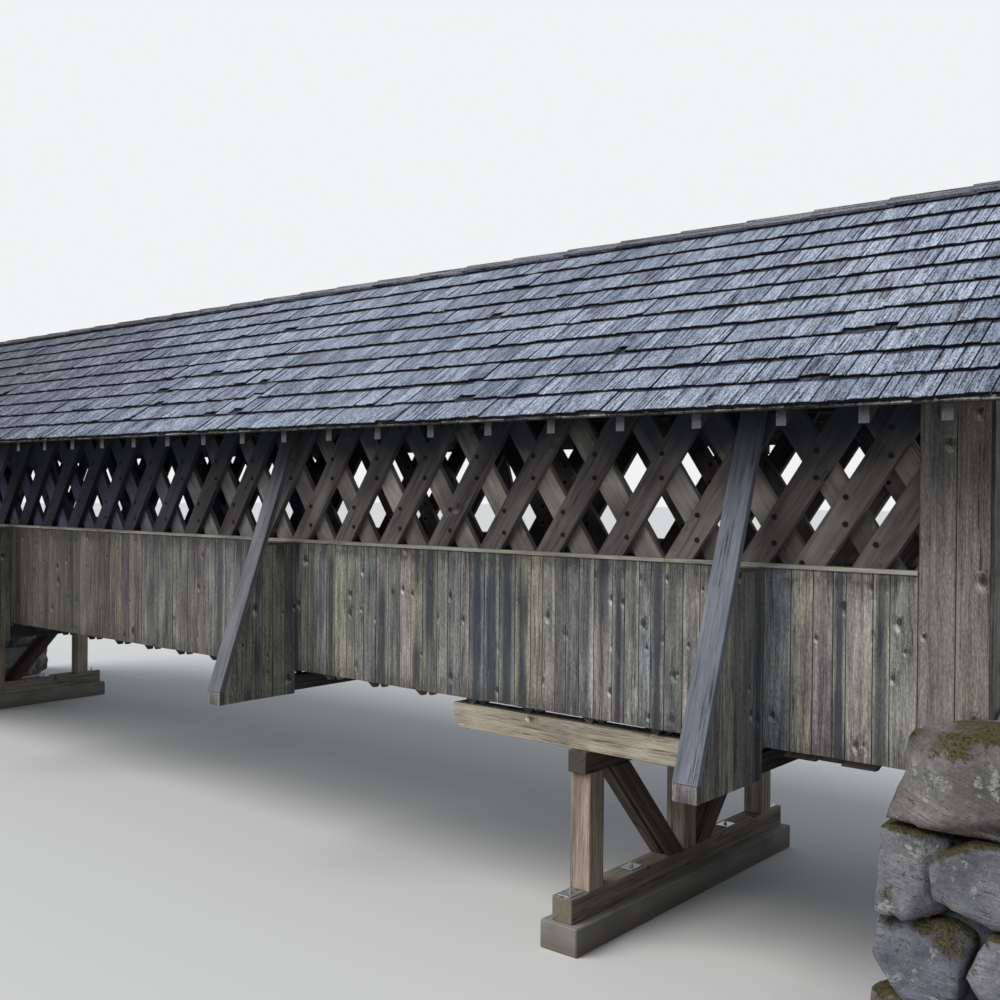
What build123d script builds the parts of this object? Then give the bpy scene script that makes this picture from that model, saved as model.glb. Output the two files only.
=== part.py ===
from build123d import *
import os

# All sizes are millimetres: X runs along the bridge, Y across it and Z up from the ground.

# Driving sizes of the bridge
BRIDGE_LENGTH = 23640
HALF_WIDTH = 1990
ROOF_PITCH = 0.75
TRUSS_FOOT = 2165
TRUSS_HEIGHT = 3535
RAIL_HEIGHT = 1020
EAVE_OVERHANG = 954
GABLE_OVERHANG = 425

# Boards and planks of the sides
BOARD = 25
CHORD_PLANK = 75
CHORD_HEIGHT = 280
CHORD_LIFT = 115
LATTICE_PLANK = 75
LATTICE_WIDTH = 250
LATTICE_PITCH = 767.1
LATTICE_RISE = 570
LATTICE_TIP = 15
CROSSING_LIFT = 1966
FIRST_CROSSING = 1846
END_PLANK_PITCH = 525
END_BAY = 1750
SIDING_LIFT = 75
CORNER_BOARD_LENGTH = 550
CORNER_BOARD_DROP = 65
CORNER_HEAD_CLEARANCE = 4
GIRT_HEIGHT = 175
CAP_THICKNESS = 35
CAP_OUTSIDE = 15
PORTAL_LIP = 25
PORTAL_DROP = 200

# Floor and top ties
DECK_THICKNESS = 60
DECK_CLEARANCE = 30
FLOOR_BEAM_WIDTH = 150
FLOOR_BEAM_HEIGHT = 200
FLOOR_BEAM_PITCH = 767.1
TIE_WIDTH = 140
TIE_HEIGHT = 190
TIE_END_CLEARANCE = 7

# Roof
RAFTER_WIDTH = 90
RAFTER_PLUMB = 146
RAFTER_PITCH = 749.7
RAFTER_NOTCH = 52
FIRST_RAFTER_BACK = 1317
OUTER_RAFTER_BACK = 653
TAIL_BACK = 80
SHEATHING_PLUMB = 35
SHEATHING_BACK = 30
SHEATHING_END_BACK = 20
SHAKE_PLUMB = 75
SHAKE_BUTT = 25
SHAKE_EXPOSURE = 352.3
RIDGE_BOARD = 40
RIDGE_BOARD_HEIGHT = 160
RIDGE_CAP_WIDTH = 190
RIDGE_CAP_THICKNESS = 25

# Buttresses along each side
END_BUTTRESS_BACK = 2007
INNER_BUTTRESS_BACK = 8260
BRACE_WIDTH = 235
BRACE_THICKNESS = 64
BRACE_SPREAD = 1114
BRACE_DROP = 64
BRACE_HEAD_DROP = 494
SKIRT_DROP = 212
SKIRT_BOARD = 22
END_BOARD_BACK = 6
OUTRIGGER_WIDTH = 140
OUTRIGGER_HEIGHT = 184

# Timber bents
BENT_BACK = 3870
TIMBER = 241
FOOTING_HEIGHT = 276
FOOTING_MARGIN = 100
FOOTING_OVERRUN = 60
SILL_OVERRUN = 290
CAP_BEAM = 216
CAP_BEAM_OVERRUN = 64
BOLSTER_REACH = 1705
BOLSTER_CLEARANCE = 88
BOLSTER_HEIGHT = 263
BOLSTER_CHAMFER_RUN = 96
BOLSTER_CHAMFER_RISE = 155
BENT_BRACE = 140
BENT_BRACE_BACK = 287
BENT_BRACE_RUN = 191
BENT_PLANK = 50
BENT_PLANK_RUN = 300
BENT_PLANK_CLEARANCE = 20
PLATE_LENGTH = 200
PLATE_WIDTH = 150
PLATE_THICKNESS = 10
PLATE_BACK = 135
INNER_PLATE_PLACE = 1010
BOLT_RADIUS = 10
BOLT_HEIGHT = 60

# Stone abutments
ABUTMENT_FACE_BACK = 550
ABUTMENT_TAIL = 600
ABUTMENT_BATTER = 150
CHEEK_START_BACK = 420
CHEEK_THICKNESS = 705
CHEEK_DROP = 70
CHEEK_CLEARANCE = 5
BED_TIMBER_BACK = 400
BED_TIMBER_WIDTH = 300
BED_TIMBER_HEIGHT = 200

# Worked-out places along the bridge
HALF_LENGTH = BRIDGE_LENGTH / 2
SIDING_HALF_LENGTH = HALF_LENGTH - CORNER_BOARD_LENGTH
PORTAL_FACE = HALF_LENGTH + BOARD
ROOF_HALF_LENGTH = PORTAL_FACE + GABLE_OVERHANG
FIRST_CROSSING_PLACE = HALF_LENGTH - FIRST_CROSSING
LATTICE_BAYS = round(2 * FIRST_CROSSING_PLACE / LATTICE_PITCH)
LATTICE_STEP = 2 * FIRST_CROSSING_PLACE / LATTICE_BAYS
END_BUTTRESS = HALF_LENGTH - END_BUTTRESS_BACK
INNER_BUTTRESS = HALF_LENGTH - INNER_BUTTRESS_BACK
BUTTRESS_PLACES = (-END_BUTTRESS, -INNER_BUTTRESS, INNER_BUTTRESS, END_BUTTRESS)
BENT_PLACE = HALF_LENGTH - BENT_BACK
BOLSTER_START = BENT_PLACE - BOLSTER_REACH
BOLSTER_END = END_BUTTRESS - OUTRIGGER_WIDTH / 2 - BOLSTER_CLEARANCE
FIRST_RAFTER = HALF_LENGTH - FIRST_RAFTER_BACK
RAFTER_BAYS = round(2 * FIRST_RAFTER / RAFTER_PITCH)
RAFTER_STEP = 2 * FIRST_RAFTER / RAFTER_BAYS
OUTER_RAFTER = HALF_LENGTH - OUTER_RAFTER_BACK
END_RAFTER = HALF_LENGTH - RAFTER_WIDTH / 2
ABUTMENT_FACE = HALF_LENGTH - ABUTMENT_FACE_BACK
ABUTMENT_BACK = HALF_LENGTH + ABUTMENT_TAIL
CHEEK_START = HALF_LENGTH - CHEEK_START_BACK
BED_TIMBER_START = HALF_LENGTH - BED_TIMBER_BACK

# Worked-out places across the bridge
CHORD_OUTER = HALF_WIDTH - BOARD
LATTICE_OUTER = CHORD_OUTER - CHORD_PLANK
LATTICE_MIDDLE = LATTICE_OUTER - LATTICE_PLANK
LATTICE_INNER = LATTICE_MIDDLE - LATTICE_PLANK
CHORD_INNER = LATTICE_INNER - CHORD_PLANK
PORTAL_HALF_OPENING = CHORD_INNER - PORTAL_LIP
DECK_HALF_WIDTH = CHORD_INNER - DECK_CLEARANCE
EAVE_REACH = HALF_WIDTH + EAVE_OVERHANG
RAFTER_REACH = EAVE_REACH - TAIL_BACK
POST_PLACE = LATTICE_MIDDLE
POST_FACE = POST_PLACE + TIMBER / 2
SILL_REACH = POST_FACE + SILL_OVERRUN
CAP_BEAM_REACH = POST_FACE + CAP_BEAM_OVERRUN
FOOTING_REACH = SILL_REACH + FOOTING_OVERRUN
BENT_BRACE_HEAD = POST_PLACE - BENT_BRACE_BACK
BENT_BRACE_TOE = TIMBER / 2 + BENT_PLANK_CLEARANCE + BENT_PLANK_RUN
BED_TIMBER_REACH = HALF_WIDTH - DECK_CLEARANCE
BAY_REACH = HALF_WIDTH + CHEEK_CLEARANCE
ABUTMENT_REACH = BAY_REACH + CHEEK_THICKNESS

# Worked-out levels
TRUSS_TOP = TRUSS_FOOT + TRUSS_HEIGHT
CHORD_FOOT = TRUSS_FOOT + CHORD_LIFT
SIDING_FOOT = TRUSS_FOOT + SIDING_LIFT
CORNER_BOARD_FOOT = TRUSS_FOOT - CORNER_BOARD_DROP
CROSSING_LEVEL = TRUSS_FOOT + CROSSING_LIFT
FLOOR_BEAM_FOOT = CHORD_FOOT + CHORD_HEIGHT
FLOOR_BEAM_TOP = FLOOR_BEAM_FOOT + FLOOR_BEAM_HEIGHT
DECK_TOP = FLOOR_BEAM_TOP + DECK_THICKNESS
RAIL_TOP = DECK_TOP + RAIL_HEIGHT
SIDING_TOP = RAIL_TOP - CAP_THICKNESS
PORTAL_HEAD = TRUSS_TOP - PORTAL_DROP
RAFTER_FOOT_AT_RIDGE = TRUSS_TOP - RAFTER_NOTCH + ROOF_PITCH * CHORD_OUTER
RAFTER_TOP_AT_RIDGE = RAFTER_FOOT_AT_RIDGE + RAFTER_PLUMB
SHEATHING_TOP_AT_RIDGE = RAFTER_TOP_AT_RIDGE + SHEATHING_PLUMB
RIDGE_TOP = SHEATHING_TOP_AT_RIDGE + SHAKE_PLUMB
BRACE_FOOT = TRUSS_FOOT - BRACE_DROP
BRACE_HEAD = TRUSS_TOP - BRACE_HEAD_DROP
SKIRT_FOOT = TRUSS_FOOT - SKIRT_DROP
SILL_TOP = FOOTING_HEIGHT + TIMBER
CAP_BEAM_TOP = TRUSS_FOOT - BOLSTER_HEIGHT
POST_HEAD = CAP_BEAM_TOP - CAP_BEAM
SEAT_LEVEL = TRUSS_FOOT - BED_TIMBER_HEIGHT
CHEEK_TOP = DECK_TOP - CHEEK_DROP

# Worked-out slopes
SLOPE_LENGTH_FACTOR = (1 + ROOF_PITCH ** 2) ** 0.5
LATTICE_RUN = LATTICE_STEP / 2 / LATTICE_RISE
LATTICE_RUN_FACTOR = (1 + LATTICE_RUN ** 2) ** 0.5
BRACE_LEAN = BRACE_SPREAD / (BRACE_HEAD - BRACE_FOOT)
BRACE_DEPTH = BRACE_THICKNESS * (1 + BRACE_LEAN ** 2) ** 0.5


def box(x0, x1, y0, y1, z0, z1):
    """A block between six planes."""
    size = (abs(x1 - x0), abs(y1 - y0), abs(z1 - z0))
    middle = ((x0 + x1) / 2, (y0 + y1) / 2, (z0 + z1) / 2)
    return Pos(*middle) * Box(*size)


def plate_across(points, x0, x1):
    """A flat outline drawn in Y and Z, made solid from x0 to x1."""
    outline = make_face(Polyline(*[(x0, y, z) for y, z in points], close=True))
    return extrude(outline, amount=x1 - x0, dir=(1, 0, 0))


def plate_along(points, y0, y1):
    """A flat outline drawn in X and Z, made solid from y0 to y1."""
    outline = make_face(Polyline(*[(x, y0, z) for x, z in points], close=True))
    return extrude(outline, amount=y1 - y0, dir=(0, 1, 0))


def far_side(solid):
    return mirror(solid, about=Plane.XZ)


def other_end(solid):
    return mirror(solid, about=Plane.YZ)


def both_ends(solid):
    return [solid, other_end(solid)]


def roof_line(top_at_ridge, y):
    return top_at_ridge - ROOF_PITCH * abs(y)


def lattice_plank(crossing, lean, outer_face):
    """One slanted plank: its foot is sawn square over the span and runs long over the end bays."""
    run = lean * LATTICE_RUN
    half = LATTICE_WIDTH / 2 * LATTICE_RUN_FACTOR
    corner = LATTICE_WIDTH / 2 / LATTICE_RUN_FACTOR
    over = crossing + run * (TRUSS_TOP + LATTICE_WIDTH - CROSSING_LEVEL)
    foot = crossing + run * (TRUSS_FOOT - CROSSING_LEVEL)
    head = [(over + half, TRUSS_TOP + LATTICE_WIDTH), (over - half, TRUSS_TOP + LATTICE_WIDTH)]
    if abs(foot) > HALF_LENGTH - END_BAY:
        low = foot - run * LATTICE_WIDTH
        feet = [(low - half, TRUSS_FOOT - LATTICE_WIDTH), (low + half, TRUSS_FOOT - LATTICE_WIDTH)]
    else:
        drop = lean * corner * LATTICE_RUN
        level = TRUSS_FOOT - LATTICE_TIP + abs(drop)
        middle = crossing + run * (level - CROSSING_LEVEL)
        feet = [(middle - corner, level + drop), (middle + corner, level - drop)]
    return plate_along(feet + head, -outer_face, -outer_face + LATTICE_PLANK)


def reaches_in(crossing, lean):
    """Whether more than a corner of a plank lies between the ends of the truss."""
    foot = crossing + lean * LATTICE_RUN * (TRUSS_FOOT - CROSSING_LEVEL)
    head = crossing + lean * LATTICE_RUN * (TRUSS_TOP - CROSSING_LEVEL)
    return min(abs(foot), abs(head)) < HALF_LENGTH - LATTICE_WIDTH / 2


def near_lattice():
    first = FIRST_CROSSING_PLACE
    spare = 4
    regular = [first - LATTICE_STEP * k for k in range(-spare, LATTICE_BAYS + spare + 1)]
    close_end = [first + END_PLANK_PITCH * k for k in range(1, spare + 2)]
    rising = [x for x in regular if x < first + END_PLANK_PITCH / 2] + close_end
    outer = [lattice_plank(x, 1, LATTICE_OUTER) for x in rising if reaches_in(x, 1)]
    inner = [lattice_plank(x, -1, LATTICE_MIDDLE) for x in regular if reaches_in(x, -1)]
    frame = box(-HALF_LENGTH, HALF_LENGTH, -LATTICE_OUTER, -LATTICE_INNER, TRUSS_FOOT, TRUSS_TOP)
    woven = outer[0].fuse(*outer[1:], *inner)
    return woven & frame


def near_chord(foot):
    outer = box(-HALF_LENGTH, HALF_LENGTH, -CHORD_OUTER, -LATTICE_OUTER, foot, foot + CHORD_HEIGHT)
    inner = box(-HALF_LENGTH, HALF_LENGTH, -LATTICE_INNER, -CHORD_INNER, foot, foot + CHORD_HEIGHT)
    return Compound([outer, inner])


def near_siding():
    return box(-SIDING_HALF_LENGTH, SIDING_HALF_LENGTH, -HALF_WIDTH, -CHORD_OUTER, SIDING_FOOT, SIDING_TOP)


def near_rail():
    """The girt behind the top of the siding with the cap over both."""
    end = SIDING_HALF_LENGTH
    girt = box(-end, end, -CHORD_OUTER, -LATTICE_OUTER, SIDING_TOP - GIRT_HEIGHT, SIDING_TOP)
    cap = box(-end, end, -HALF_WIDTH - CAP_OUTSIDE, -LATTICE_OUTER, SIDING_TOP, RAIL_TOP)
    return girt + cap


def near_corner_boards():
    head = roof_line(RAFTER_FOOT_AT_RIDGE, HALF_WIDTH) - CORNER_HEAD_CLEARANCE
    right = box(SIDING_HALF_LENGTH, HALF_LENGTH, -HALF_WIDTH, -CHORD_OUTER, CORNER_BOARD_FOOT, head)
    return Compound(both_ends(right))


def right_portal():
    """The boarded gable and jambs round the way through."""
    shoulder = roof_line(RAFTER_TOP_AT_RIDGE, HALF_WIDTH)
    outline = [(-HALF_WIDTH, SIDING_FOOT), (-HALF_WIDTH, shoulder), (0, RAFTER_TOP_AT_RIDGE),
               (HALF_WIDTH, shoulder), (HALF_WIDTH, SIDING_FOOT)]
    face = plate_across(outline, HALF_LENGTH, PORTAL_FACE)
    way = box(HALF_LENGTH, PORTAL_FACE, -PORTAL_HALF_OPENING, PORTAL_HALF_OPENING, SIDING_FOOT, PORTAL_HEAD)
    return face - way


def floor_beams():
    count = int(BRIDGE_LENGTH / FLOOR_BEAM_PITCH) - 1
    half = FLOOR_BEAM_WIDTH / 2
    places = [(k - (count - 1) / 2) * FLOOR_BEAM_PITCH for k in range(count)]
    return Compound([box(x - half, x + half, -LATTICE_INNER, LATTICE_INNER, FLOOR_BEAM_FOOT, FLOOR_BEAM_TOP)
                     for x in places])


def deck():
    return box(-PORTAL_FACE, PORTAL_FACE, -DECK_HALF_WIDTH, DECK_HALF_WIDTH, FLOOR_BEAM_TOP, DECK_TOP)


def rafter_places():
    return [FIRST_RAFTER - RAFTER_STEP * k for k in range(RAFTER_BAYS + 1)]


def near_rafters():
    """Rafters with plumb tails, a notch over the top chord and a plumb cut at the ridge board."""
    seat = (RAFTER_FOOT_AT_RIDGE - TRUSS_TOP) / ROOF_PITCH
    ridge_face = RIDGE_BOARD / 2
    outline = [
        (-ridge_face, roof_line(RAFTER_TOP_AT_RIDGE, ridge_face)),
        (-RAFTER_REACH, roof_line(RAFTER_TOP_AT_RIDGE, RAFTER_REACH)),
        (-RAFTER_REACH, roof_line(RAFTER_FOOT_AT_RIDGE, RAFTER_REACH)),
        (-CHORD_OUTER, roof_line(RAFTER_FOOT_AT_RIDGE, CHORD_OUTER)),
        (-CHORD_OUTER, TRUSS_TOP),
        (-seat, TRUSS_TOP),
        (-ridge_face, roof_line(RAFTER_FOOT_AT_RIDGE, ridge_face)),
    ]
    half = RAFTER_WIDTH / 2
    places = [END_RAFTER, OUTER_RAFTER] + rafter_places() + [-OUTER_RAFTER, -END_RAFTER]
    return Compound([plate_across(outline, x - half, x + half) for x in places])


def tie_beams():
    top = TRUSS_TOP + TIE_HEIGHT
    reach = (RAFTER_TOP_AT_RIDGE - top) / ROOF_PITCH - TIE_END_CLEARANCE
    half = TIE_WIDTH / 2
    places = [x - RAFTER_STEP / 2 for x in rafter_places()[:-1:3]]
    return Compound([box(x - half, x + half, -reach, reach, TRUSS_TOP, top) for x in places])


def ridge_board():
    half = RIDGE_BOARD / 2
    top = roof_line(RAFTER_TOP_AT_RIDGE, half)
    return box(-HALF_LENGTH, HALF_LENGTH, -half, half, top - RIDGE_BOARD_HEIGHT, top)


def near_roof_boards():
    edge = EAVE_REACH - SHEATHING_BACK
    end = ROOF_HALF_LENGTH - SHEATHING_END_BACK
    outline = [(0, RAFTER_TOP_AT_RIDGE), (0, SHEATHING_TOP_AT_RIDGE),
               (-edge, roof_line(SHEATHING_TOP_AT_RIDGE, edge)), (-edge, roof_line(RAFTER_TOP_AT_RIDGE, edge))]
    return plate_across(outline, -end, end)


def near_roof_shakes():
    """Lapped courses: every course is thick at its butt and thins under the next one."""
    run = SHAKE_EXPOSURE / SLOPE_LENGTH_FACTOR
    butt = SHAKE_BUTT * SLOPE_LENGTH_FACTOR
    courses = int(EAVE_REACH / run)
    outline = [(0, SHEATHING_TOP_AT_RIDGE), (-EAVE_REACH, roof_line(SHEATHING_TOP_AT_RIDGE, EAVE_REACH))]
    for k in range(courses):
        low, high = EAVE_REACH - run * k, EAVE_REACH - run * (k + 1)
        outline.append((-low, roof_line(RIDGE_TOP, low)))
        outline.append((-high, roof_line(RIDGE_TOP, high) - butt))
    top = EAVE_REACH - run * courses
    outline.append((-top, roof_line(RIDGE_TOP, top)))
    outline.append((0, RIDGE_TOP))
    return plate_across(outline, -ROOF_HALF_LENGTH, ROOF_HALF_LENGTH)


def ridge_cap():
    reach = RIDGE_CAP_WIDTH / SLOPE_LENGTH_FACTOR
    edge = roof_line(RIDGE_TOP, reach)
    lift = RIDGE_CAP_THICKNESS * SLOPE_LENGTH_FACTOR
    outline = [(-reach, edge), (0, RIDGE_TOP), (reach, edge),
               (reach, edge + lift), (0, RIDGE_TOP + lift), (-reach, edge + lift)]
    return plate_across(outline, -ROOF_HALF_LENGTH, ROOF_HALF_LENGTH)


def brace_line(z):
    """Distance of the brace's outer face from the centre line at a height."""
    return HALF_WIDTH + BRACE_SPREAD - BRACE_LEAN * (z - BRACE_FOOT)


def near_brace_planks():
    """Slanted planks from the outriggers' ends up to the lattice, butting under the top chord."""
    head = TRUSS_TOP - CHORD_HEIGHT
    meet = BRACE_FOOT + (HALF_WIDTH + BRACE_SPREAD - BRACE_DEPTH - LATTICE_OUTER) / BRACE_LEAN
    outline = [(-brace_line(BRACE_FOOT), BRACE_FOOT), (-brace_line(head), head),
               (-LATTICE_OUTER, head), (-LATTICE_OUTER, meet),
               (-brace_line(BRACE_FOOT) + BRACE_DEPTH, BRACE_FOOT)]
    half = BRACE_WIDTH / 2
    return Compound([plate_across(outline, x - half, x + half) for x in BUTTRESS_PLACES])


def outriggers():
    half = OUTRIGGER_WIDTH / 2
    reach = brace_line(TRUSS_FOOT) - BRACE_DEPTH
    return Compound([box(x - half, x + half, -reach, reach, TRUSS_FOOT - OUTRIGGER_HEIGHT, TRUSS_FOOT)
                     for x in BUTTRESS_PLACES])


def near_buttress_boards():
    """Boarded cheeks of each buttress with its end board and small cover."""
    outer = brace_line(BRACE_FOOT) - BRACE_DEPTH
    inner_top = brace_line(SIDING_TOP) - BRACE_DEPTH
    outline = [(-HALF_WIDTH, SKIRT_FOOT), (-outer, SKIRT_FOOT), (-outer, BRACE_FOOT),
               (-inner_top, SIDING_TOP), (-HALF_WIDTH, SIDING_TOP)]
    half = BRACE_WIDTH / 2
    skirts = []
    for x in BUTTRESS_PLACES:
        left = plate_across(outline, x - half, x - half + SKIRT_BOARD)
        right = plate_across(outline, x + half - SKIRT_BOARD, x + half)
        end = box(x - half, x + half, -brace_line(BRACE_FOOT) + END_BOARD_BACK, -outer, SKIRT_FOOT, BRACE_FOOT)
        cover = box(x - half, x + half, -inner_top, -HALF_WIDTH, SIDING_TOP - SKIRT_BOARD, SIDING_TOP)
        skirts.append(left + right + end + cover)
    return Compound(skirts)


def bent_footings():
    half = TIMBER / 2 + FOOTING_MARGIN
    strip = box(BENT_PLACE - half, BENT_PLACE + half, -FOOTING_REACH, FOOTING_REACH, 0, FOOTING_HEIGHT)
    return Compound(both_ends(strip))


def bent_sills():
    half = TIMBER / 2
    sill = box(BENT_PLACE - half, BENT_PLACE + half, -SILL_REACH, SILL_REACH, FOOTING_HEIGHT, SILL_TOP)
    return Compound(both_ends(sill))


def bent_posts():
    half = TIMBER / 2
    posts = []
    for y in (-POST_PLACE, 0, POST_PLACE):
        posts += both_ends(box(BENT_PLACE - half, BENT_PLACE + half, y - half, y + half, SILL_TOP, POST_HEAD))
    return Compound(posts)


def bent_caps():
    half = CAP_BEAM / 2
    cap = box(BENT_PLACE - half, BENT_PLACE + half, -CAP_BEAM_REACH, CAP_BEAM_REACH, POST_HEAD, CAP_BEAM_TOP)
    return Compound(both_ends(cap))


def slanted(run, x0, x1):
    """A near-side brace between the sill and the cap, its level ends as wide as run."""
    outline = [(-BENT_BRACE_HEAD, POST_HEAD), (-BENT_BRACE_HEAD + run, POST_HEAD),
               (-BENT_BRACE_TOE + run, SILL_TOP), (-BENT_BRACE_TOE, SILL_TOP)]
    return plate_across(outline, x0, x1)


def bent_braces():
    left, right = BENT_PLACE - TIMBER / 2, BENT_PLACE + TIMBER / 2
    brace = slanted(BENT_BRACE_RUN, left, left + BENT_BRACE)
    plank = slanted(BENT_PLANK_RUN, right - BENT_PLANK, right)
    pieces = []
    for piece in (brace, plank):
        pieces += both_ends(piece) + both_ends(far_side(piece))
    return Compound(pieces)


def bolsters():
    """Beams under each truss over the bents, their lower corners cut away at the ends."""
    foot, shoulder = CAP_BEAM_TOP, CAP_BEAM_TOP + BOLSTER_CHAMFER_RISE
    outline = [(BOLSTER_START, TRUSS_FOOT), (BOLSTER_START, shoulder), (BOLSTER_START + BOLSTER_CHAMFER_RUN, foot),
               (BOLSTER_END - BOLSTER_CHAMFER_RUN, foot), (BOLSTER_END, shoulder), (BOLSTER_END, TRUSS_FOOT)]
    beam = plate_along(outline, -POST_PLACE - TIMBER / 2, -POST_PLACE + TIMBER / 2)
    return Compound(both_ends(beam) + both_ends(far_side(beam)))


def anchor_plates():
    outer = SILL_REACH - PLATE_BACK
    half = PLATE_WIDTH / 2
    top = SILL_TOP + PLATE_THICKNESS
    plates = []
    for y in (-outer, -INNER_PLATE_PLACE, INNER_PLATE_PLACE, outer):
        plate = box(BENT_PLACE - half, BENT_PLACE + half, y - PLATE_LENGTH / 2, y + PLATE_LENGTH / 2, SILL_TOP, top)
        bolt = Pos(BENT_PLACE, y, top + BOLT_HEIGHT / 2) * Cylinder(BOLT_RADIUS, BOLT_HEIGHT)
        plates += both_ends(plate + bolt)
    return Compound(plates)


def right_abutment():
    """A battered mass of stone with a seat for the bridge, two cheeks and a back wall."""
    foot = ABUTMENT_FACE - ABUTMENT_BATTER
    lean = ABUTMENT_BATTER / DECK_TOP
    ledge = foot + lean * SEAT_LEVEL
    low = [(ABUTMENT_BACK, 0), (foot, 0), (ledge, SEAT_LEVEL)]
    bay = low + [(PORTAL_FACE, SEAT_LEVEL), (PORTAL_FACE, DECK_TOP), (ABUTMENT_BACK, DECK_TOP)]
    cheek = low + [(CHEEK_START, SEAT_LEVEL), (CHEEK_START, CHEEK_TOP), (ABUTMENT_BACK, CHEEK_TOP)]
    wide = ABUTMENT_REACH + ABUTMENT_BATTER
    mass = plate_along(bay, -BAY_REACH, BAY_REACH)
    mass += plate_along(cheek, -wide, -BAY_REACH)
    mass += plate_along(cheek, BAY_REACH, wide)
    narrow = wide - lean * DECK_TOP
    sides = [(-wide, 0), (-narrow, DECK_TOP), (narrow, DECK_TOP), (wide, 0)]
    return mass & plate_across(sides, foot, ABUTMENT_BACK)


def bed_timbers():
    timber = box(BED_TIMBER_START, BED_TIMBER_START + BED_TIMBER_WIDTH, -BED_TIMBER_REACH, BED_TIMBER_REACH,
                 SEAT_LEVEL, TRUSS_FOOT)
    return Compound(both_ends(timber))


def build():
    parts = {}
    near_pieces = {
        "lattice": near_lattice(),
        "bottom_chord": near_chord(CHORD_FOOT),
        "top_chord": near_chord(TRUSS_TOP - CHORD_HEIGHT),
        "siding": near_siding(),
        "rail": near_rail(),
        "corner_boards": near_corner_boards(),
        "rafters": near_rafters(),
        "roof_boards": near_roof_boards(),
        "roof_shakes": near_roof_shakes(),
        "brace_planks": near_brace_planks(),
        "buttress_boards": near_buttress_boards(),
    }
    for name, near in near_pieces.items():
        parts["near_" + name] = near
        parts["far_" + name] = far_side(near)
    for name, right in (("portal", right_portal()), ("abutment", right_abutment())):
        parts["right_" + name] = right
        parts["left_" + name] = other_end(right)
    parts["floor_beams"] = floor_beams()
    parts["deck"] = deck()
    parts["tie_beams"] = tie_beams()
    parts["ridge_board"] = ridge_board()
    parts["ridge_cap"] = ridge_cap()
    parts["outriggers"] = outriggers()
    parts["bent_footings"] = bent_footings()
    parts["bent_sills"] = bent_sills()
    parts["bent_posts"] = bent_posts()
    parts["bent_caps"] = bent_caps()
    parts["bent_braces"] = bent_braces()
    parts["bolsters"] = bolsters()
    parts["anchor_plates"] = anchor_plates()
    parts["bed_timbers"] = bed_timbers()
    return parts


os.makedirs("parts", exist_ok=True)
for name, shape in build().items():
    export_step(shape, f"parts/{name}.step")
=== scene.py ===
import math
import random

import bmesh
import bpy
from mathutils import Matrix, Vector, noise


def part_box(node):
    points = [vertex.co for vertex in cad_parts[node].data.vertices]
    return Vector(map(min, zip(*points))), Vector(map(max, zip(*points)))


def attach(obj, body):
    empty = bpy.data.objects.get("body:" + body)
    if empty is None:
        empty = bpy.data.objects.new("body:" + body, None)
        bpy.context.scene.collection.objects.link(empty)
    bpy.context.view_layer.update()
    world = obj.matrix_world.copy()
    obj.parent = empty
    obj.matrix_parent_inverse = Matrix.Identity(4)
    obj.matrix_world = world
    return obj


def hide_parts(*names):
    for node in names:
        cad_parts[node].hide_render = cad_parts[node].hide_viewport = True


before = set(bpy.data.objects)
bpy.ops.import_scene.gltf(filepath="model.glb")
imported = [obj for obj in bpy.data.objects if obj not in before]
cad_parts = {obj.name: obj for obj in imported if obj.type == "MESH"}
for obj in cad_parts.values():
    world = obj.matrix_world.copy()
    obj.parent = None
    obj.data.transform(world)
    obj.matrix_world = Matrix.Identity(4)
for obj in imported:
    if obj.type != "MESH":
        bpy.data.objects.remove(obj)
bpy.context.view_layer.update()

AXES = X_AXIS, Y_AXIS, Z_AXIS = Vector((1, 0, 0)), Vector((0, 1, 0)), Vector((0, 0, 1))
SIDES = {"near": -1, "far": 1}
ENDS = {"left": -1, "right": 1}


# Shaders

def arithmetic(operation, swapped=False):
    """A method of Wire that adds one maths node."""
    def act(self, *others):
        values = (*others, self) if swapped else (self, *others)
        return self.finish.add("Math", {"operation": operation}, dict(enumerate(values)))
    return act


class Wire:
    """A shader socket that can stand in an expression."""

    def __init__(self, finish, socket):
        self.finish, self.socket = finish, socket

    __add__, __radd__ = arithmetic("ADD"), arithmetic("ADD", True)
    __sub__, __rsub__ = arithmetic("SUBTRACT"), arithmetic("SUBTRACT", True)
    __mul__, __rmul__ = arithmetic("MULTIPLY"), arithmetic("MULTIPLY", True)
    __truediv__, __abs__ = arithmetic("DIVIDE"), arithmetic("ABSOLUTE")
    smallest, largest, over = arithmetic("MINIMUM"), arithmetic("MAXIMUM"), arithmetic("GREATER_THAN")
    root, sine, bearing = arithmetic("SQRT"), arithmetic("SINE"), arithmetic("ARCTAN2")
    part = arithmetic("FRACT")

    def ease(self, low, high):
        """0 at low and 1 at high, smooth between."""
        return self.finish.add("MapRange", {"interpolation_type": "SMOOTHSTEP"},
                               {"Value": self, "From Min": low, "From Max": high})


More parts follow.
